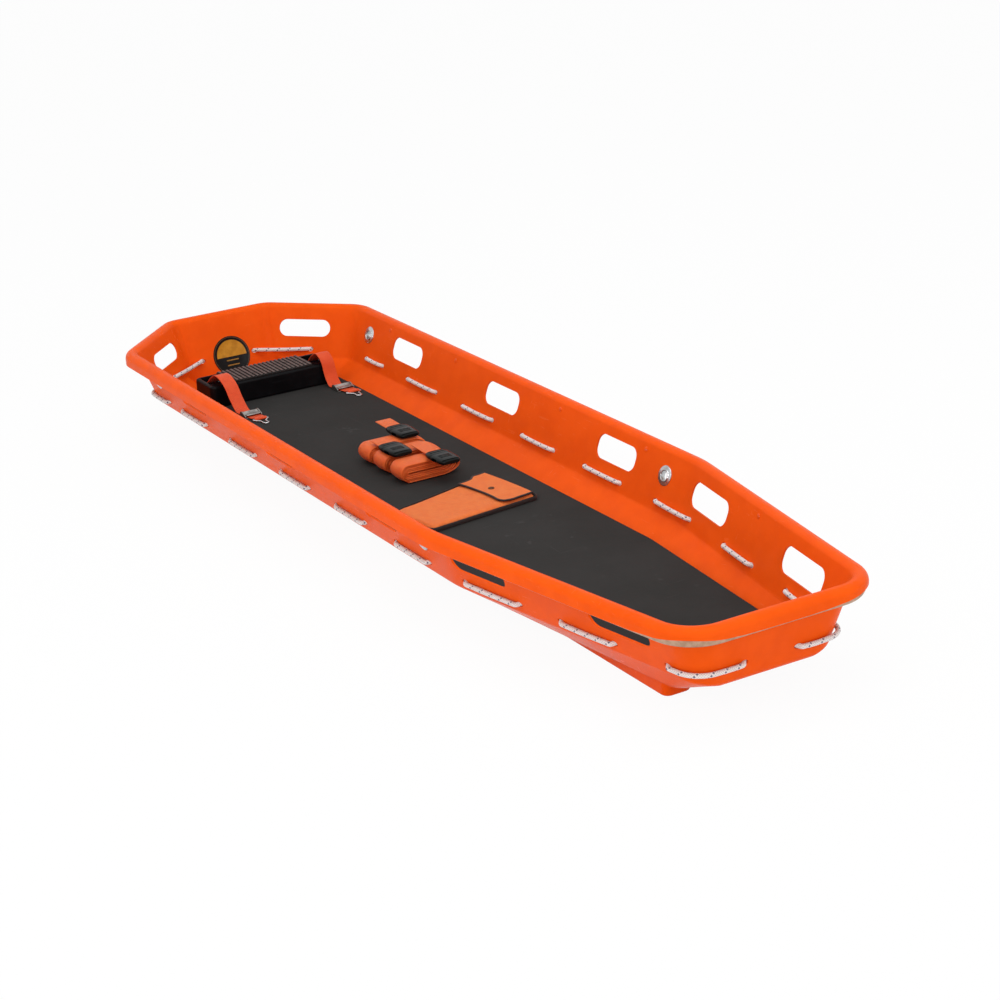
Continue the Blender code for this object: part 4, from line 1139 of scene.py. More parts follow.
def makeEyelets():
    seat = section["wall"] / 2 + touch
    face = -seat - eyelet["flangeThick"]
    back = seat + eyelet["washerThick"]
    end = back + touch
    bore, barrel, flange = eyelet["bore"], eyelet["barrel"], eyelet["flange"]
    raised, bend = eyelet["raised"], eyelet["lipBend"]
    profile = [(bore + bend - r, face - raised + bend - z) for r, z in arc(bend, 0, 90, 5)]
    profile += [(barrel + x, face + z) for x, z in eyelet["collar"]]
    profile += [(flange + x, face + z) for x, z in eyelet["rim"]]
    profile += [(flange, -seat), (barrel, -seat), (barrel, end)]
    profile += [(barrel + x, end + z) for x, z in eyelet["peened"]] + [(bore, end + 0.0006)]
    washer = [(barrel + touch, seat), (flange - 0.0003, seat), (flange, seat + 0.0003),
              (flange, back - 0.0004), (flange - 0.0004, back), (barrel + touch, back)]
    for corner, place in eyeletPlaces().items():
        turned(profile + profile[:1], place, 48, f"liftingEyelet_{corner}", "shell", "eyelet", steel,
               f"lifting_eyelet_{corner}")
        turned(washer + washer[:1], place, 48, f"eyeletWasher_{corner}", "shell", "eyelet", steel,
               f"eyelet_washer_{corner}")


mattress = {"margin": 0.0025, "thick": 0.0197, "edge": 0.006, "ridges": 5, "hollow": 0.0012,
            "square": 0.028, "headClear": 0.20, "footClear": (-0.62, -0.32)}
mattressTop = section["floorHeight"] + touch + mattress["thick"]
bedTop = mattressTop + touch   # what lies on the mattress starts here


def cutTop(piece, height, square):
    openUp(piece, 'FACE')
    low, high = (Vector(corner) for corner in (piece.bound_box[0], piece.bound_box[6]))
    for axis in (0, 1):
        count = round((high[axis] - low[axis]) / square)
        for k in range(1, count):
            place, facing = Vector((0.0, 0.0, height)), Vector((0.0, 0.0, 0.0))
            place[axis] = low[axis] + (high[axis] - low[axis]) * k / count
            facing[axis] = 1.0
            selectWhole(False)
            mesh = bmesh.from_edit_mesh(piece.data)
            for face in mesh.faces:
                face.select_set(face.normal.z > 0.999 and face.calc_center_median().z > height - 1e-5)
            bmesh.update_edit_mesh(piece.data)
            bpy.ops.mesh.bisect(plane_co=place, plane_no=facing)
    closeUp()


# levels of a pad with round edges, each as (inset, height)
def padLevels(low, high, edge, steps):
    quarter = [math.pi / 2 * i / steps for i in range(steps + 1)]
    levels = [(edge * (1 - math.sin(a)), low + edge * (1 - math.cos(a))) for a in quarter]
    return levels + [(edge * (1 - math.cos(a)), high - edge * (1 - math.sin(a))) for a in quarter]


def makeMattress():
    bottom = section["floorHeight"] + touch
    levels = padLevels(bottom, mattressTop, mattress["edge"], mattress["ridges"])
    inset = section["floorInset"] + mattress["margin"]
    rings = [levelRing(inset + drawnIn, height) for drawnIn, height in levels]
    piece = skin("mattressPad", rings)
    cutTop(piece, mattressTop, mattress["square"])

    def hollowed(spot):   # foam never lies quite flat, except under the gear
        if spot.z > mattressTop - 1e-5:
            x, y = spot.xy
            toHead = (x - mattress["headClear"]) / 0.12
            toFoot = min(max(mattress["footClear"][1] - x, 0.0), x - mattress["footClear"][0]) / 0.1
            clear = max(min(toHead, 1.0), min(toFoot, 1.0), 0.0)
            wave = noise.noise(Vector((x * 4.0, y * 6.0, 3.0)))
            spot.z -= mattress["hollow"] * clear * (0.5 + 0.5 * wave)
        return spot

    movePoints(piece, hollowed)
    shade(piece, 50)
    hand(piece, "mattressPad", "mattress", "mattress", foam, "mattress")


label = {"radius": 0.0465, "thick": 0.0012, "side": 0.008, "height": 0.0893, "round": 0.0005,
         "face": ((0.0, 0.8), (0.5, 0.8), (0.93, 0.8), (0.945, 1.0))}


def makeLabel():
    place = wallPlace(footEdge, label["side"], label["height"])
    seat, radius, thick = section["wall"] / 2 + touch, label["radius"], label["thick"]
    profile = [(radius * share, -seat - thick * lift) for share, lift in label["face"]]
    profile += [(radius - label["round"], -seat - thick), (radius, label["round"] - seat - thick),
                (radius, -seat), (0.0, -seat)]
    piece = lathe("roundLabel", profile, place, 72)
    back = place.inverted()
    mesh = openUp(piece)
    layer = mesh.loops.layers.uv.verify()
    for face in mesh.faces:
        for loop in face.loops:
            spot = back @ loop.vert.co
            loop[layer].uv = (spot.x / radius, spot.y / radius)
    bmesh.update_edit_mesh(piece.data)
    closeUp()
    shade(piece, 40)
    hand(piece, "roundLabel", "shell", "label", tag, "label_disc")


makeRimTube()
makeRivets()
makeRope()
makeEyelets()
makeMattress()
makeLabel()
print("rim, rope, eyelets, mattress and label made")

# footrest: a block with a pocket in each end, an anchor bar across each pocket and a ribbed tread
footrest = {"front": -0.800, "depth": 0.095, "width": 0.310, "height": 0.050, "upright": 0.012,
            "edge": 0.0057, "treadWidth": 0.205, "treadDepth": 0.086, "plate": 0.0025,
            "rib": 0.0030, "ribs": 20, "ribGap": 0.0030, "flank": 0.0012,
            "ribEnds": ((0.0, 0.15), (0.0010, 0.75), (0.0026, 1.0)),
            "ribSlope": ((0.45, 0.62), (1.0, 0.92), (1.5, 1.0)),
            "pocketCentre": 0.1275, "pocketWidth": 0.036, "pocketLength": 0.052, "pocketDepth": 0.022,
            "pocketCorner": 0.006, "bar": 0.0035, "barChamfer": 0.0005, "setback": 0.012,
            "barSeat": 0.004, "soft": 0.0012}
footTop = bedTop + footrest["height"]
footBack = footrest["front"] - footrest["depth"]
barX = footrest["front"] - footrest["depth"] / 2 - footrest["setback"]
barZ = footTop - footrest["pocketDepth"] / 2
sides = {"left": -1, "right": 1}


# local Z along the world's Y, for bars and pins that lie across the basket
def acrossAt(point):
    return Matrix.Translation(point) @ Matrix.Rotation(-math.pi / 2, 4, 'X')


def boreAcross(piece, radius, reach, point):
    profile = [(0.0, -reach), (radius, -reach), (radius, reach), (0.0, reach)]
    combine(piece, lathe("bore", profile, acrossAt(point), 24))


def makeFootrest():
    half = footrest["width"] / 2
    body = block("footrestBody", (footBack, -half, bedTop), (footrest["front"], half, footTop))

    def crosswise(edge, a, b):
        return abs(a.z - b.z) < 1e-5 and len({round(face.normal.z) for face in edge.link_faces}) > 1

    bevelWhere(body, lambda edge, a, b: abs(a.z - b.z) > footrest["height"] / 2, footrest["upright"], 8)
    bevelWhere(body, crosswise, footrest["edge"], 6)
    for name, side in sides.items():
        middle = side * footrest["pocketCentre"]
        width, length = footrest["pocketWidth"] / 2, footrest["pocketLength"] / 2
        pocket = block("pocket", (barX - length, middle - width, footTop - footrest["pocketDepth"]),
                       (barX + length, middle + width, footTop + footrest["pocketDepth"]),
                       footrest["pocketCorner"], 5)
        combine(body, pocket)
        reach = footrest["pocketWidth"] / 2 + footrest["barSeat"]
        bar = footrest["bar"]
        boreAcross(body, bar + touch, reach, (barX, middle, barZ))
        reach -= touch
        end = [(bar, reach - footrest["barChamfer"]), (bar - footrest["barChamfer"], reach), (0.0, reach)]
        profile = [(r, -z) for r, z in reversed(end)] + end
        turned(profile, acrossAt((barX, middle, barZ)), 28, f"strapAnchor_{name}", "footrest", "fitting",
               steel, f"strap_anchor_{name}")
    softenEdges(body, footrest["soft"], 40, 3)
    hand(body, "footrestBody", "footrest", "footrest", blockBlack, "footrest_body")


def makeTread():
    low = footTop + touch
    root, rise, flank = low + footrest["plate"], footrest["rib"], footrest["flank"]
    back = footBack + (footrest["depth"] - footrest["treadDepth"]) / 2
    half, depth = footrest["treadWidth"] / 2, footrest["treadDepth"]
    pitch = footrest["treadWidth"] / footrest["ribs"]
    ends, slope = footrest["ribEnds"], footrest["ribSlope"]
    stations = [*ends] + [(depth * k / 10, 1.0) for k in range(1, 10)]
    stations += [(depth - x, share) for x, share in reversed(ends)]
    rings = []
    for x, share in stations:
        outline = [(-half, low), (half, low)]
        for i in reversed(range(footrest["ribs"])):
            start = i * pitch - half + footrest["ribGap"] / 2
            end = (i + 1) * pitch - half - footrest["ribGap"] / 2
            outline.append((end, root))
            outline += [(end - flank * way, root + rise * lift * share) for way, lift in slope]
            outline += [(start + flank * way, root + rise * lift * share)
                        for way, lift in reversed(slope)]
            outline.append((start, root))
        rings.append([Vector((back + x, y, z)) for y, z in outline])
    piece = skin("footrestTread", rings)
    shade(piece, 40)
    hand(piece, "footrestTread", "footrest", "tread", treadLook(root + rise * 0.45, root + rise * 0.98),
         "footrest_tread")


# footrest straps, each with a cam buckle and an end hook
strap = {"width": 0.032, "thick": 0.0020, "crest": 0.0225,
         "runs": {"left": (0.046, 0.080, 0.102, 0.122, 0.139, 0.192),
                  "right": (0.042, 0.063, 0.073, 0.085, 0.099, 0.150)},
         "falls": (1.0, 0.80, 0.37, 0.05, 0.0, 0.0), "wrap": (250, 210, 170, 130, 95),
         "liftOff": (2.2, 2.0), "drift": {"left": 0.15, "right": 0.20},
         "endWidth": 0.0296, "endReach": 0.010,
         "tuckStart": 0.006, "tuck": ((-0.0042, 0.62), (-0.0020, 0.93))}
buckle = {"length": 0.030, "cheek": 0.0020, "height": 0.0095, "floor": 0.0016, "fromEnd": 0.034,
          "hub": 0.0036, "lever": 0.022, "plate": 0.0022, "setback": 0.006, "pin": 0.0016,
          "running": 0.0004, "edge": 0.0006, "rail": 0.006, "head": 0.0027, "soft": 0.00035,
          "leverSoft": 0.0002, "grips": (0.0115, 0.0145, 0.0175),
          "cheeks": ((-1.0, 0.30), (-0.93, 0.50), (-0.80, 0.84), (-0.62, 0.98), (-0.40, 1.0),
                     (-0.15, 0.98), (0.10, 0.85), (0.45, 0.62), (0.80, 0.45), (0.95, 0.36), (1.0, 0.26)),
          "ends": ((0.0, 0.0040), (0.0010, 0.0016), (0.003, 0.0))}
hook = {"wire": 0.0018, "length": 0.036, "nose": 0.006, "heel": 0.004, "throat": 0.0162,
        "corner": 0.0042, "bend": 0.0028}
strapRest = bedTop + buckle["floor"] + touch + strap["thick"] / 2


def strapMiddle(name, along):
    clear = footrest["pocketLength"] / 2
    return sides[name] * footrest["pocketCentre"] + strap["drift"][name] * max(along - clear, 0.0)


def makeFootStrap(name):
    loop = footrest["bar"] + touch + strap["thick"] / 2
    points = [(loop * math.cos(math.radians(a)), barZ + loop * math.sin(math.radians(a)))
              for a in strap["wrap"]]
    points.append((loop * strap["liftOff"][0], barZ + loop * strap["liftOff"][1]))
    crest = footTop + strap["crest"] - strapRest
    points += [(along, strapRest + crest * fall)
               for along, fall in zip(strap["runs"][name], strap["falls"])]
    curve = spline([Vector(p) for p in points], 6)
    # the end rises over the hook's bar and is turned down in front of it
    end = strap["runs"][name][-1]
    bar = Vector((end + hook["wire"] + touch, bedTop + hook["wire"]))
    reach = hook["wire"] + touch + strap["thick"] / 2
    curve = [p for p in curve if p.x < end - strap["tuckStart"]]
    curve += [bar + Vector((x, reach * lift)) for x, lift in strap["tuck"]]
    curve += [bar + Vector(p) for p in arc(reach, 80, -8, 7)]
    path = [Vector((barX + p.x, strapMiddle(name, p.x), p.y)) for p in curve]
    path.reverse()
    near = sum((p - path[0]).length < strap["endReach"] for p in path) / len(path)

    def narrowed(share):
        return strap["endWidth"] / strap["width"] if share < near else 1.0

    piece = band("footrestStrap", path, Vector((0.0, 1.0, 0.0)), strap["width"], strap["thick"],
                 narrowed)
    hand(piece, f"footrestStrap_{name}", "footrest", "footrest_webbing", footOrange,
         f"footrest_strap_{name}")


def makeCamBuckle(name):
    along = strap["runs"][name][-1] - buckle["fromEnd"]
    middle = Vector((barX + along, strapMiddle(name, along), strapRest))
    half = buckle["length"] / 2
    inner = strap["width"] / 2 + strap["drift"][name] * half + buckle["running"]
    outer = inner + buckle["cheek"]
    low = -strap["thick"] / 2 - touch - buckle["floor"]
    edge = buckle["edge"]
    rings = []
    for share, lift in buckle["cheeks"]:
        high = buckle["height"] * lift
        outline = ((-outer, low + edge), (-outer + edge, low), (outer - edge, low),
                   (outer, low + edge), (outer, high), (inner, high), (inner, low + buckle["floor"]),
                   (-inner, low + buckle["floor"]), (-inner, high), (-outer, high))
        rings.append([middle + Vector((half * share, y, z)) for y, z in outline])
    cage = skin("camBuckle", rings)
    pinAt = middle + Vector((-buckle["setback"], 0.0, strap["thick"] / 2 + touch + buckle["hub"]))
    pin = buckle["pin"]
    boreAcross(cage, pin + touch, outer + 0.002, pinAt)
    rail = buckle["rail"]
    window = block("window", middle + Vector((0.005, rail - inner, low - 0.001)),
                   middle + Vector((half - 0.003, inner - rail, low + buckle["floor"] + 0.0002)))
    combine(cage, window)
    softenEdges(cage, buckle["soft"], 35)
    hand(cage, f"camBuckle_{name}", "footrest", "fitting", dullSteel, f"cam_buckle_{name}")
    head, out = buckle["head"], outer
    profile = [(pin, out + 0.0001), (head, out + 0.0001), (head, out + touch),
               (head * 0.6, out + 0.0007), (0.0, out + 0.0008)]
    profile = [(r, -z) for r, z in reversed(profile)] + profile
    turned(profile, acrossAt(pinAt), 24, f"camPin_{name}", "footrest", "fitting", dullSteel,
           f"cam_pin_{name}")
    makeLever(name, pinAt, inner - buckle["running"])


def makeLever(name, pinAt, half):
    hub = buckle["hub"]
    turn = [(hub - (0.00035 if 180 <= a <= 285 and i % 2 else 0.0), a)
            for i, a in enumerate(range(80, 331, 9))]
    outline = [(r * math.cos(math.radians(a)), r * math.sin(math.radians(a))) for r, a in turn]
    tip, far = buckle["plate"] / 2, buckle["lever"]
    outline += [(0.0060, -tip), (far * 0.55, -tip), (far * 0.82, -tip * 0.9),
                (far - 0.0012, -tip * 0.5), (far, tip * 0.3), (far - 0.0006, tip * 1.25),
                (far * 0.93, tip * 1.35), (far * 0.82, tip * 1.1), (far * 0.55, tip), (0.0060, tip)]
    # the thumb plate's corners are round
    stations = [(inset - half, trim) for inset, trim in buckle["ends"]] + [(0.0, 0.0)]
    stations += [(half - inset, trim) for inset, trim in reversed(buckle["ends"])]
    rings = [[pinAt + Vector((x - (trim * x / far if x > hub else 0.0), y, z)) for x, z in outline]
             for y, trim in stations]
    lever = skin("camLever", rings)
    boreAcross(lever, buckle["pin"] + touch, half + 0.002, pinAt)
    for offset in buckle["grips"]:   # grooves across the thumb plate
        groove = block("groove", pinAt + Vector((offset - 0.0005, -half + 0.005, tip - 0.0003)),
                       pinAt + Vector((offset + 0.0005, half - 0.005, tip + 0.002)))
        combine(lever, groove)
    softenEdges(lever, buckle["leverSoft"], 40)
    hand(lever, f"camLever_{name}", f"cam_lever_{name}", "fitting", dullSteel, f"cam_lever_{name}")


def makeHook(name):
    along = strap["runs"][name][-1]
    bar = strap["width"] / 2 + hook["wire"]
    start = Vector((barX + along + hook["wire"] + touch, strapMiddle(name, along),
                    bedTop + hook["wire"]))
    length, nose = hook["length"], hook["nose"]
    half = [(0.0, bar), (hook["heel"], bar), (hook["throat"], nose), (length - hook["corner"], nose),
            (length, nose - hook["corner"])]
    shape = [start + Vector((x, -y, 0.0)) for x, y in half]
    shape += [start + Vector((x, y, 0.0)) for x, y in reversed(half)]
    piece = wire("strapHook", roundLoop(shape, hook["bend"], 6), hook["wire"])
    hand(piece, f"strapHook_{name}", f"hook_{name}", "fitting", steel, f"strap_hook_{name}")


# patient straps rolled flat: fat near ends, drawn out and fanned towards the far ends
hank = {"width": 0.050, "length": 0.155, "height": 0.045, "pitch": 0.0037, "turns": 5, "thick": 0.0030,
        "middle": 0.012, "places": (-0.256, -0.190, -0.118), "top": 0.09815,
        "nearIn": 0.004, "farIn": 0.003, "farStretch": 2.1, "crown": 0.0022, "slip": 0.0032,
        "loose": 0.0003, "step": 0.006}


def hankPath(x, seed):
    outer = hank["height"] / 2 - hank["thick"] / 2
    middle = bedTop + hank["height"] / 2
    near = -hank["length"] / 2 + hank["nearIn"] + hank["height"] / 2
    far = hank["length"] / 2 - hank["farIn"] - hank["farStretch"] * hank["height"] / 2
    path = [Vector((x, hank["middle"] + near + (far - near) * k / 8, middle - outer)) for k in range(8)]
    for halfTurn in range(2 * hank["turns"]):
        isFar = halfTurn % 2 == 0
        for i in range(25):
            swept = halfTurn + i / 24
            loose = hank["loose"] * noise.noise(Vector((swept * 0.9, seed * 3.1, 0.0)))
            radius = outer - hank["pitch"] * swept / 2 + (loose if swept > 2 else 0.0)
            angle = math.pi * (swept - 0.5)
            slip = hank["slip"] * noise.noise(Vector((swept * 0.6, seed * 7.7, 4.0)))
            reach = radius * math.cos(angle) * (hank["farStretch"] if isFar else 1.0)
            path.append(Vector((x + slip, hank["middle"] + (far if isFar else near) + reach,
                                middle + radius * math.sin(angle))))
    return evenPath(path, hank["step"])


def makeHanks():
    for number, x in enumerate(hank["places"], 1):
        piece = band("patientStrap", hankPath(x, number), Vector((1.0, 0.0, 0.0)), hank["width"],
                     hank["thick"], crown=hank["crown"])
        hand(piece, f"patientStrap_{number}", "strap_set", "patient_webbing", strapOrange,
             f"patient_strap_{number}")


clip = {"width": 0.052, "length": 0.048, "height": 0.0120, "wall": 0.0022, "sideWall": 0.0045,
        "base": 0.026, "tongue": 0.036, "running": 0.0004, "fullness": 3.2, "edge": 0.0004,
        "cutRound": 0.0012, "blade": 0.012, "window": (0.009, 0.027, 0.006, 0.0032),
        "ribs": (0.012, 0.018, 0.024), "socketSlot": (0.0405, 0.0438),
        "tongueSlots": ((0.006, 0.0095), (0.0145, 0.018)),
        "socket": ((0.0, 0.97, 0.94), (0.02, 1.0, 1.0), (0.25, 1.0, 1.0), (0.42, 0.975, 1.0),
                   (0.58, 0.96, 1.0), (0.70, 0.93, 0.98), (0.80, 0.90, 0.93), (0.90, 0.84, 0.84),
                   (0.96, 0.76, 0.72), (1.0, 0.66, 0.52)),
        "baseShape": ((0.0, 0.74, 0.55), (0.05, 0.80, 0.74), (0.16, 0.86, 0.92), (0.4, 0.92, 1.0),
                      (0.7, 0.98, 1.0), (0.95, 1.0, 1.0), (1.0, 0.97, 0.94)),
        "prong": ((-0.0024, 0.0050, 0.0012), (0.008, 0.0052, 0.0020), (0.016, 0.0056, 0.0008),
                  (0.022, 0.0060, 0.0), (0.028, 0.0064, 0.0002), (0.0335, 0.0060, 0.0030),
                  (0.0358, 0.0054, 0.0044)),
        "places": ((-0.277, 0.043), (-0.186, -0.024), (-0.083, 0.030)),
        "tails": (0.050, 0.036, 0.066), "tailWidth": 0.036, "tailThick": 0.0024,
        "tailLift": 0.0012}
clipMiddle = hank["top"] + touch + clip["height"] / 2


# a skin over stations (share of the length, width, height), each an outline fuller than an ellipse
def pillowSkin(name, stations, start, length):
    sizes, power, steps = (clip["width"] / 2, clip["height"] / 2), 2 / clip["fullness"], 32
    turns = [2 * math.pi * (k + 0.5) / steps for k in range(steps)]
    rings = []
    for share, *scales in stations:
        corner = start + Vector((length * share, 0.0, 0.0))
        reach = [size * scale for size, scale in zip(sizes, scales)]
        rings.append([corner + Vector((0.0, *(math.copysign(far * abs(part) ** power, part)
                                              for far, part in zip(reach, (math.cos(a), math.sin(a))))))
                      for a in turns])
    return skin(name, rings)


def webSlot(piece, x, slot, y, z):
    wide, deep = clip["tailWidth"] / 2 + 0.001, 0.02
    combine(piece, block("webSlot", (x + slot[0], y - wide, z - deep), (x + slot[1], y + wide, z + deep),
                         clip["cutRound"], 2))


def makeSocket(number, x, y):
    half, high = clip["width"] / 2, clip["height"] / 2
    z = clipMiddle
    socket = pillowSkin("clipSocket", clip["socket"], Vector((x, y, z)), clip["length"])
    inner = half - clip["sideWall"]
    room = high - clip["wall"]
    combine(socket, block("room", (x - clip["wall"], y - inner, z - room),
                          (x + clip["tongue"] + clip["running"], y + inner, z + room)))
    start, end, deep, tall = clip["window"]
    for side in (-1, 1):   # the windows that the prongs snap out of
        combine(socket, block("window", (x + start, y + side * inner - deep, z - tall),
                              (x + end, y + side * inner + deep, z + tall), clip["cutRound"], 2))
    webSlot(socket, x, clip["socketSlot"], y, z)
    softenEdges(socket, clip["edge"], 40)
    ribs = [block("rib", (x + start, y - 0.013, z + high - 0.0004),
                  (x + start + 0.0025, y + 0.013, z + high + 0.0006), 0.0005, 2)
            for start in clip["ribs"]]
    socket = joinAll("clipSocket", [socket] + ribs)
    shade(socket, 40)
    hand(socket, f"clipSocket_{number}", f"clip_{number}", "clip", clipBlack, f"clip_socket_{number}")


def makeTongue(number, x, y):
    half, high, run = clip["width"] / 2, clip["height"] / 2, clip["running"]
    z, back = clipMiddle, x - clip["running"]
    inner = half - clip["sideWall"] - run
    room = high - clip["wall"] - run
    start = back - clip["base"]
    tongue = pillowSkin("clipTongue", clip["baseShape"], Vector((start, y, z)), clip["base"])
    for slot in clip["tongueSlots"]:
        webSlot(tongue, start, slot, y, z)
    tip = x + clip["tongue"]
    wide = clip["blade"] / 2
    blade = block("blade", (back - 0.002, y - wide, z - room), (tip, y + wide, z + room),
                  clip["cutRound"], 2)
    parts = [tongue, blade]
    for side in (-1, 1):   # sprung prongs with a shoulder at each tip
        rings = [[Vector((x + along, y + side * (inner - depth), z + room * up))
                  for depth, up in ((a, -1), (b, -1), (b, 1), (a, 1))] for along, a, b in clip["prong"]]
        parts.append(skin("prong", rings))
    for part in parts:
        softenEdges(part, clip["edge"], 40)
    tongue = joinAll("clipTongue", parts)
    shade(tongue, 40)
    hand(tongue, f"clipTongue_{number}", "strap_set", "clip", clipBlack, f"clip_tongue_{number}")
    end = start - touch
    reach = clip["tails"][number - 1]
    path = [Vector((end - reach * k / 12, y, z + clip["tailLift"] * math.sin(2.2 * k / 12) * (k / 12)))
            for k in range(13)]
    tail = band("strapTail", path, Vector((0.0, 1.0, 0.0)), clip["tailWidth"], clip["tailThick"])
    hand(tail, f"strapTail_{number}", "strap_set", "patient_webbing", strapOrange,
         f"strap_tail_{number}")


makeFootrest()
makeTread()
for name in sides:
    makeFootStrap(name)
    makeCamBuckle(name)
    makeHook(name)
print("footrest and its straps made")
makeHanks()
for number, (x, y) in enumerate(clip["places"], 1):
    makeSocket(number, x, y)
    makeTongue(number, x, y)
print("patient straps and clips made")

# pouch in its own turned frame: a padded body, dark bound edges and a flap held by a snap
pouch = {"centre": (0.085, -0.020), "turn": math.radians(10.9), "length": 0.262, "near": 0.132,
         "far": 0.170, "thick": 0.014, "corner": 0.012, "edge": 0.005, "start": 0.0105, "swell": 0.003,
         "voxel": 0.0036, "pressure": 4.0, "frames": 20, "crease": 0.0014, "flapThick": 0.0022,
         "flapReach": 0.090, "flapSoft": 0.0006, "wave": 0.0022, "curl": 0.0016, "ripple": 0.0005,
         "scoop": 0.010, "draw": 0.012, "short": 0.010, "slant": 0.010, "trim": 0.004, "round": 0.024,
         "stud": 0.0065, "studHeight": 0.0022, "studInset": 0.052,
         "studFace": ((0.0, 0.0007), (0.30, 0.0006), (0.42, 0.0001), (0.62, 0.0), (0.85, 0.0005),
                      (1.0, 0.0013)),
         "socket": 0.0055, "socketThick": 0.0010,
         "flapBlank": (0.165, 0.088), "flapTape": (0.0021, 0.0024), "flapStep": 0.006,
         "bodyTape": (0.0048, 0.0016), "hemHeight": 0.0052, "hemStep": 0.008}
pouchTop = bedTop + pouch["thick"]
pouchPlace = Matrix.Translation((*pouch["centre"], 0.0)) @ Matrix.Rotation(pouch["turn"], 4, 'Z')
pouchEdge = pouch["length"] / 2


def pouchOutline(inset, height, steps=6):
    near, far = pouch["near"] / 2, pouch["far"] / 2
    square = [Vector((x, y)) for x, y in ((-near, -pouchEdge), (near, -pouchEdge),
                                          (far, pouchEdge), (-far, pouchEdge))]
    points = []
    for i, at in enumerate(square):
        inner = Vector((at.x - math.copysign(inset, at.x), at.y - math.copysign(inset, at.y)))
        before, after = square[i - 1] - at, square[(i + 1) % 4] - at
        points += fillet(inner + before, inner, inner + after, pouch["corner"], steps)
    return [pouchPlace @ Vector((p.x, p.y, height)) for p in points]


# padded cloth: remeshed, swollen by pressure, each point held to a short way
def swell(piece, voxel, limit, low, high):
    modify(piece, 'REMESH', mode='VOXEL', voxel_size=voxel)
    takeUp(piece)
    before = [vert.co.copy() for vert in piece.data.vertices]
    cloth = piece.modifiers.new("cloth", 'CLOTH')
    cloth.settings.use_pressure = True
    cloth.settings.uniform_pressure_force = pouch["pressure"]
    cloth.settings.effector_weights.gravity = 0.0
    for step in range(1, pouch["frames"] + 1):
        bpy.context.scene.frame_set(step)
    takeUp(piece)
    bpy.ops.object.modifier_apply(modifier=cloth.name)
    bpy.context.scene.frame_set(1)
    mesh = openUp(piece)
    for vert, rest in zip(mesh.verts, before):
        way = vert.co - rest
        if way.length > limit:
            way = way.normalized() * limit
        vert.co = rest + way
        vert.co.z = min(max(vert.co.z, low), high)
    bmesh.update_edit_mesh(piece.data)
    closeUp()


def makePouchBody():
    levels = padLevels(bedTop, bedTop + pouch["start"], pouch["edge"], 4)
    body = skin("pouchBody", [pouchOutline(0.002 + inset, height) for inset, height in levels])
    swell(body, pouch["voxel"], pouch["swell"], bedTop, pouchTop)
    modify(body, 'SUBSURF', levels=1, render_levels=1)
    back = pouchPlace.inverted()

    def creased(at):   # shallow, where the pouch is packed less full
        spot = back @ at
        lift = (at.z - bedTop) / pouch["thick"]
        sag = pouch["crease"] * (0.5 + 0.5 * noise.noise(Vector((spot.x * 22, spot.y * 16, 5.0))))
        at.z -= max(sag, 0.0) * lift ** 2 * (1.0 if spot.y < pouchEdge - pouch["flapReach"] else 0.35)
        return at

    movePoints(body, creased)
    shadeRound(body)
    hand(body, "pouchBody", "pouch", "pouch", pouchCloth, "pouch_body")
    return body


def boundEdge(name, path, closed, body, wide, thick):
    rings = []
    count = len(path)
    for i, point in enumerate(path):
        ahead = path[(i + 1) % count] - path[i - 1] if closed else \
            path[min(i + 1, count - 1)] - path[max(i - 1, 0)]
        out = Vector((ahead.y, -ahead.x, 0.0)).normalized()
        rings.append([point + out * (thick * math.cos(a)) + Vector((0.0, 0.0, wide * math.sin(a)))
                      for a in (2 * math.pi * k / 12 for k in range(12))])
    piece = skin(name, rings, wrap=closed, measured=True)
    shade(piece, 60)
    hand(piece, name, body, "pouch", binding)
    return piece


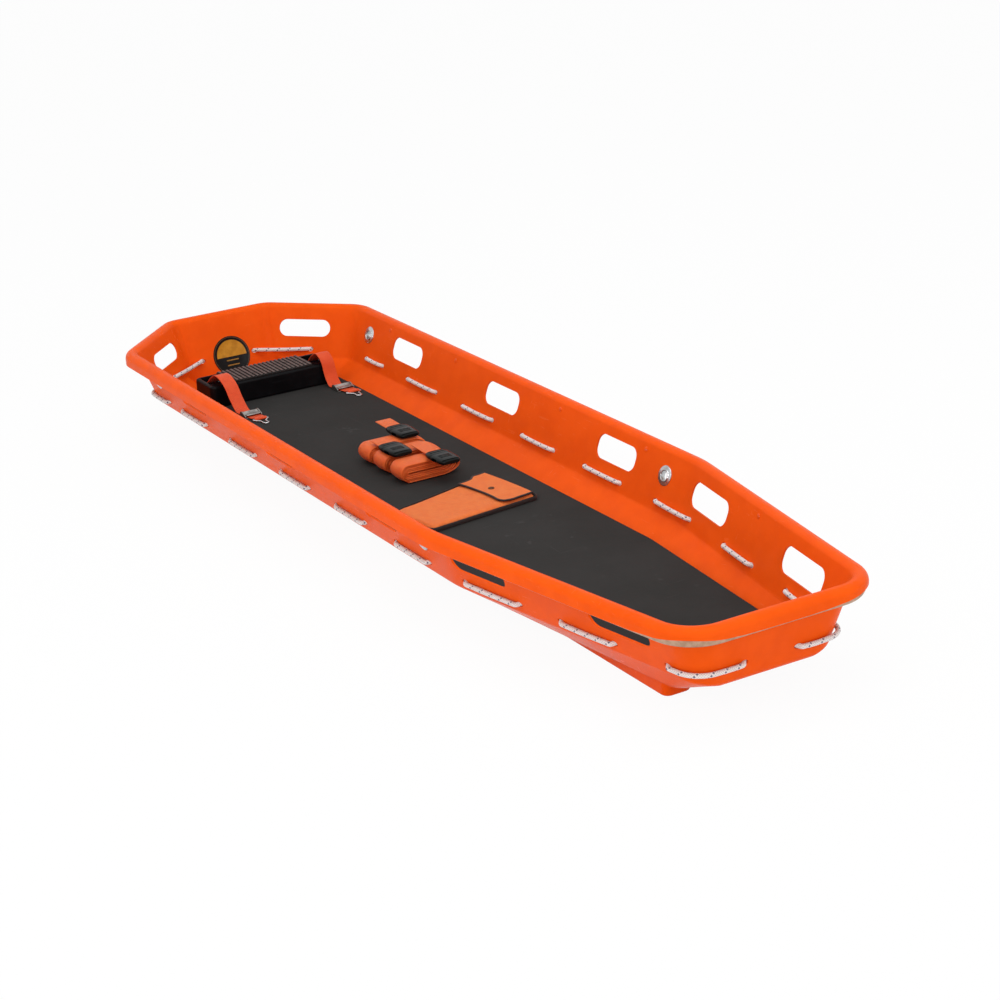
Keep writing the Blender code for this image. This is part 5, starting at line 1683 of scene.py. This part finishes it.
def makeFlap():
    low = pouchTop + touch
    half = pouch["far"] / 2 - pouch["edge"]
    tip = pouchEdge - pouch["flapReach"]

    def spot(u, v, lift):
        ease = min(max((v - 0.42) / 0.24, 0.0), 1.0)
        drawn = pouch["draw"] * (1.0 - ease * ease * (3.0 - 2.0 * ease))
        left, right = drawn - half, half - pouch["trim"]
        x = left + (right - left) * u
        wave = pouch["wave"] * math.sin(7.0 * v + 1.2) * (1 - u) ** 3 * math.sin(math.pi * v)
        corner = min(max((x - right) / pouch["round"] + 1.0, 0.0), 1.0)
        start = tip + pouch["scoop"] * math.sin(math.pi * u) + pouch["short"] * (1 - u) ** 2
        start += pouch["round"] * (1.0 - math.sqrt(max(1.0 - corner * corner, 0.0)))
        y = start + (pouchEdge - pouch["slant"] * u * u - start) * v
        curl = pouch["curl"] * (1 - v) ** 3 * (0.5 + 0.5 * math.sin(9.0 * u + 0.6))
        ripple = pouch["ripple"] * (1 + noise.noise(Vector((u * 3.0, v * 2.0, 9.0))))
        return pouchPlace @ Vector((x + wave, y, low + lift + curl + ripple * (1.0 if lift else 0.6)))

    restSelection()
    bpy.ops.mesh.primitive_grid_add(x_subdivisions=28, y_subdivisions=16, size=1.0)
    piece = bpy.context.object
    movePoints(piece, lambda at: spot(at.x + 0.5, at.y + 0.5, 0.0))
    modify(piece, 'SOLIDIFY', thickness=pouch["flapThick"], offset=1.0)
    outward(piece)
    softenEdges(piece, pouch["flapSoft"], 50)
    hand(piece, "pouchFlap", "flap", "pouch", pouchCloth, "pouch_flap")
    rim = pouch["flapThick"] / 2
    path = [spot(0.0, 1.0 - k / 14, rim) for k in range(14)]
    path += [spot(k / 28, 0.0, rim) for k in range(28)]
    path += [spot(1.0, k / 14, rim) for k in range(15)]
    route = evenPath(path, pouch["flapStep"])
    tape = boundEdge("flapBinding", route, False, "flap", *pouch["flapTape"])


def makeSnap():
    at = pouchPlace @ Matrix.Translation((0.0, pouchEdge - pouch["studInset"], 0.0))
    top = pouchTop
    ring, thick = pouch["socket"], pouch["socketThick"]
    profile = [(0.0, top - thick), (ring, top - thick), (ring, top - 0.0003), (ring - 0.0003, top),
               (ring * 0.55, top), (ring * 0.5, top - 0.0005), (0.0, top - 0.0005)]
    turned(profile, at, 32, "snapSocket", "pouch", "snap", bronze, "snap_socket")
    low = top + 2 * touch + pouch["flapThick"]
    high, radius = low + pouch["studHeight"], pouch["stud"]
    profile = [(radius * share, high - sunk) for share, sunk in pouch["studFace"]]
    profile += [(radius, low + 0.0003), (radius - 0.0004, low), (0.0, low)]
    turned(profile, at, 36, "snapStud", "flap", "snap", bronze, "snap_stud")


pouchCloth = clothLook("pouchCloth", (0.90, 0.225, 0.048), (0.84, 0.170, 0.034), pouch["turn"])
pouchBody = makePouchBody()
hem = evenPath(pouchOutline(0.0004, bedTop + pouch["hemHeight"], 8), pouch["hemStep"], True)
boundEdge("pouchBinding", hem, True, "pouch", *pouch["bodyTape"])
makeFlap()
makeSnap()
print("pouch made")
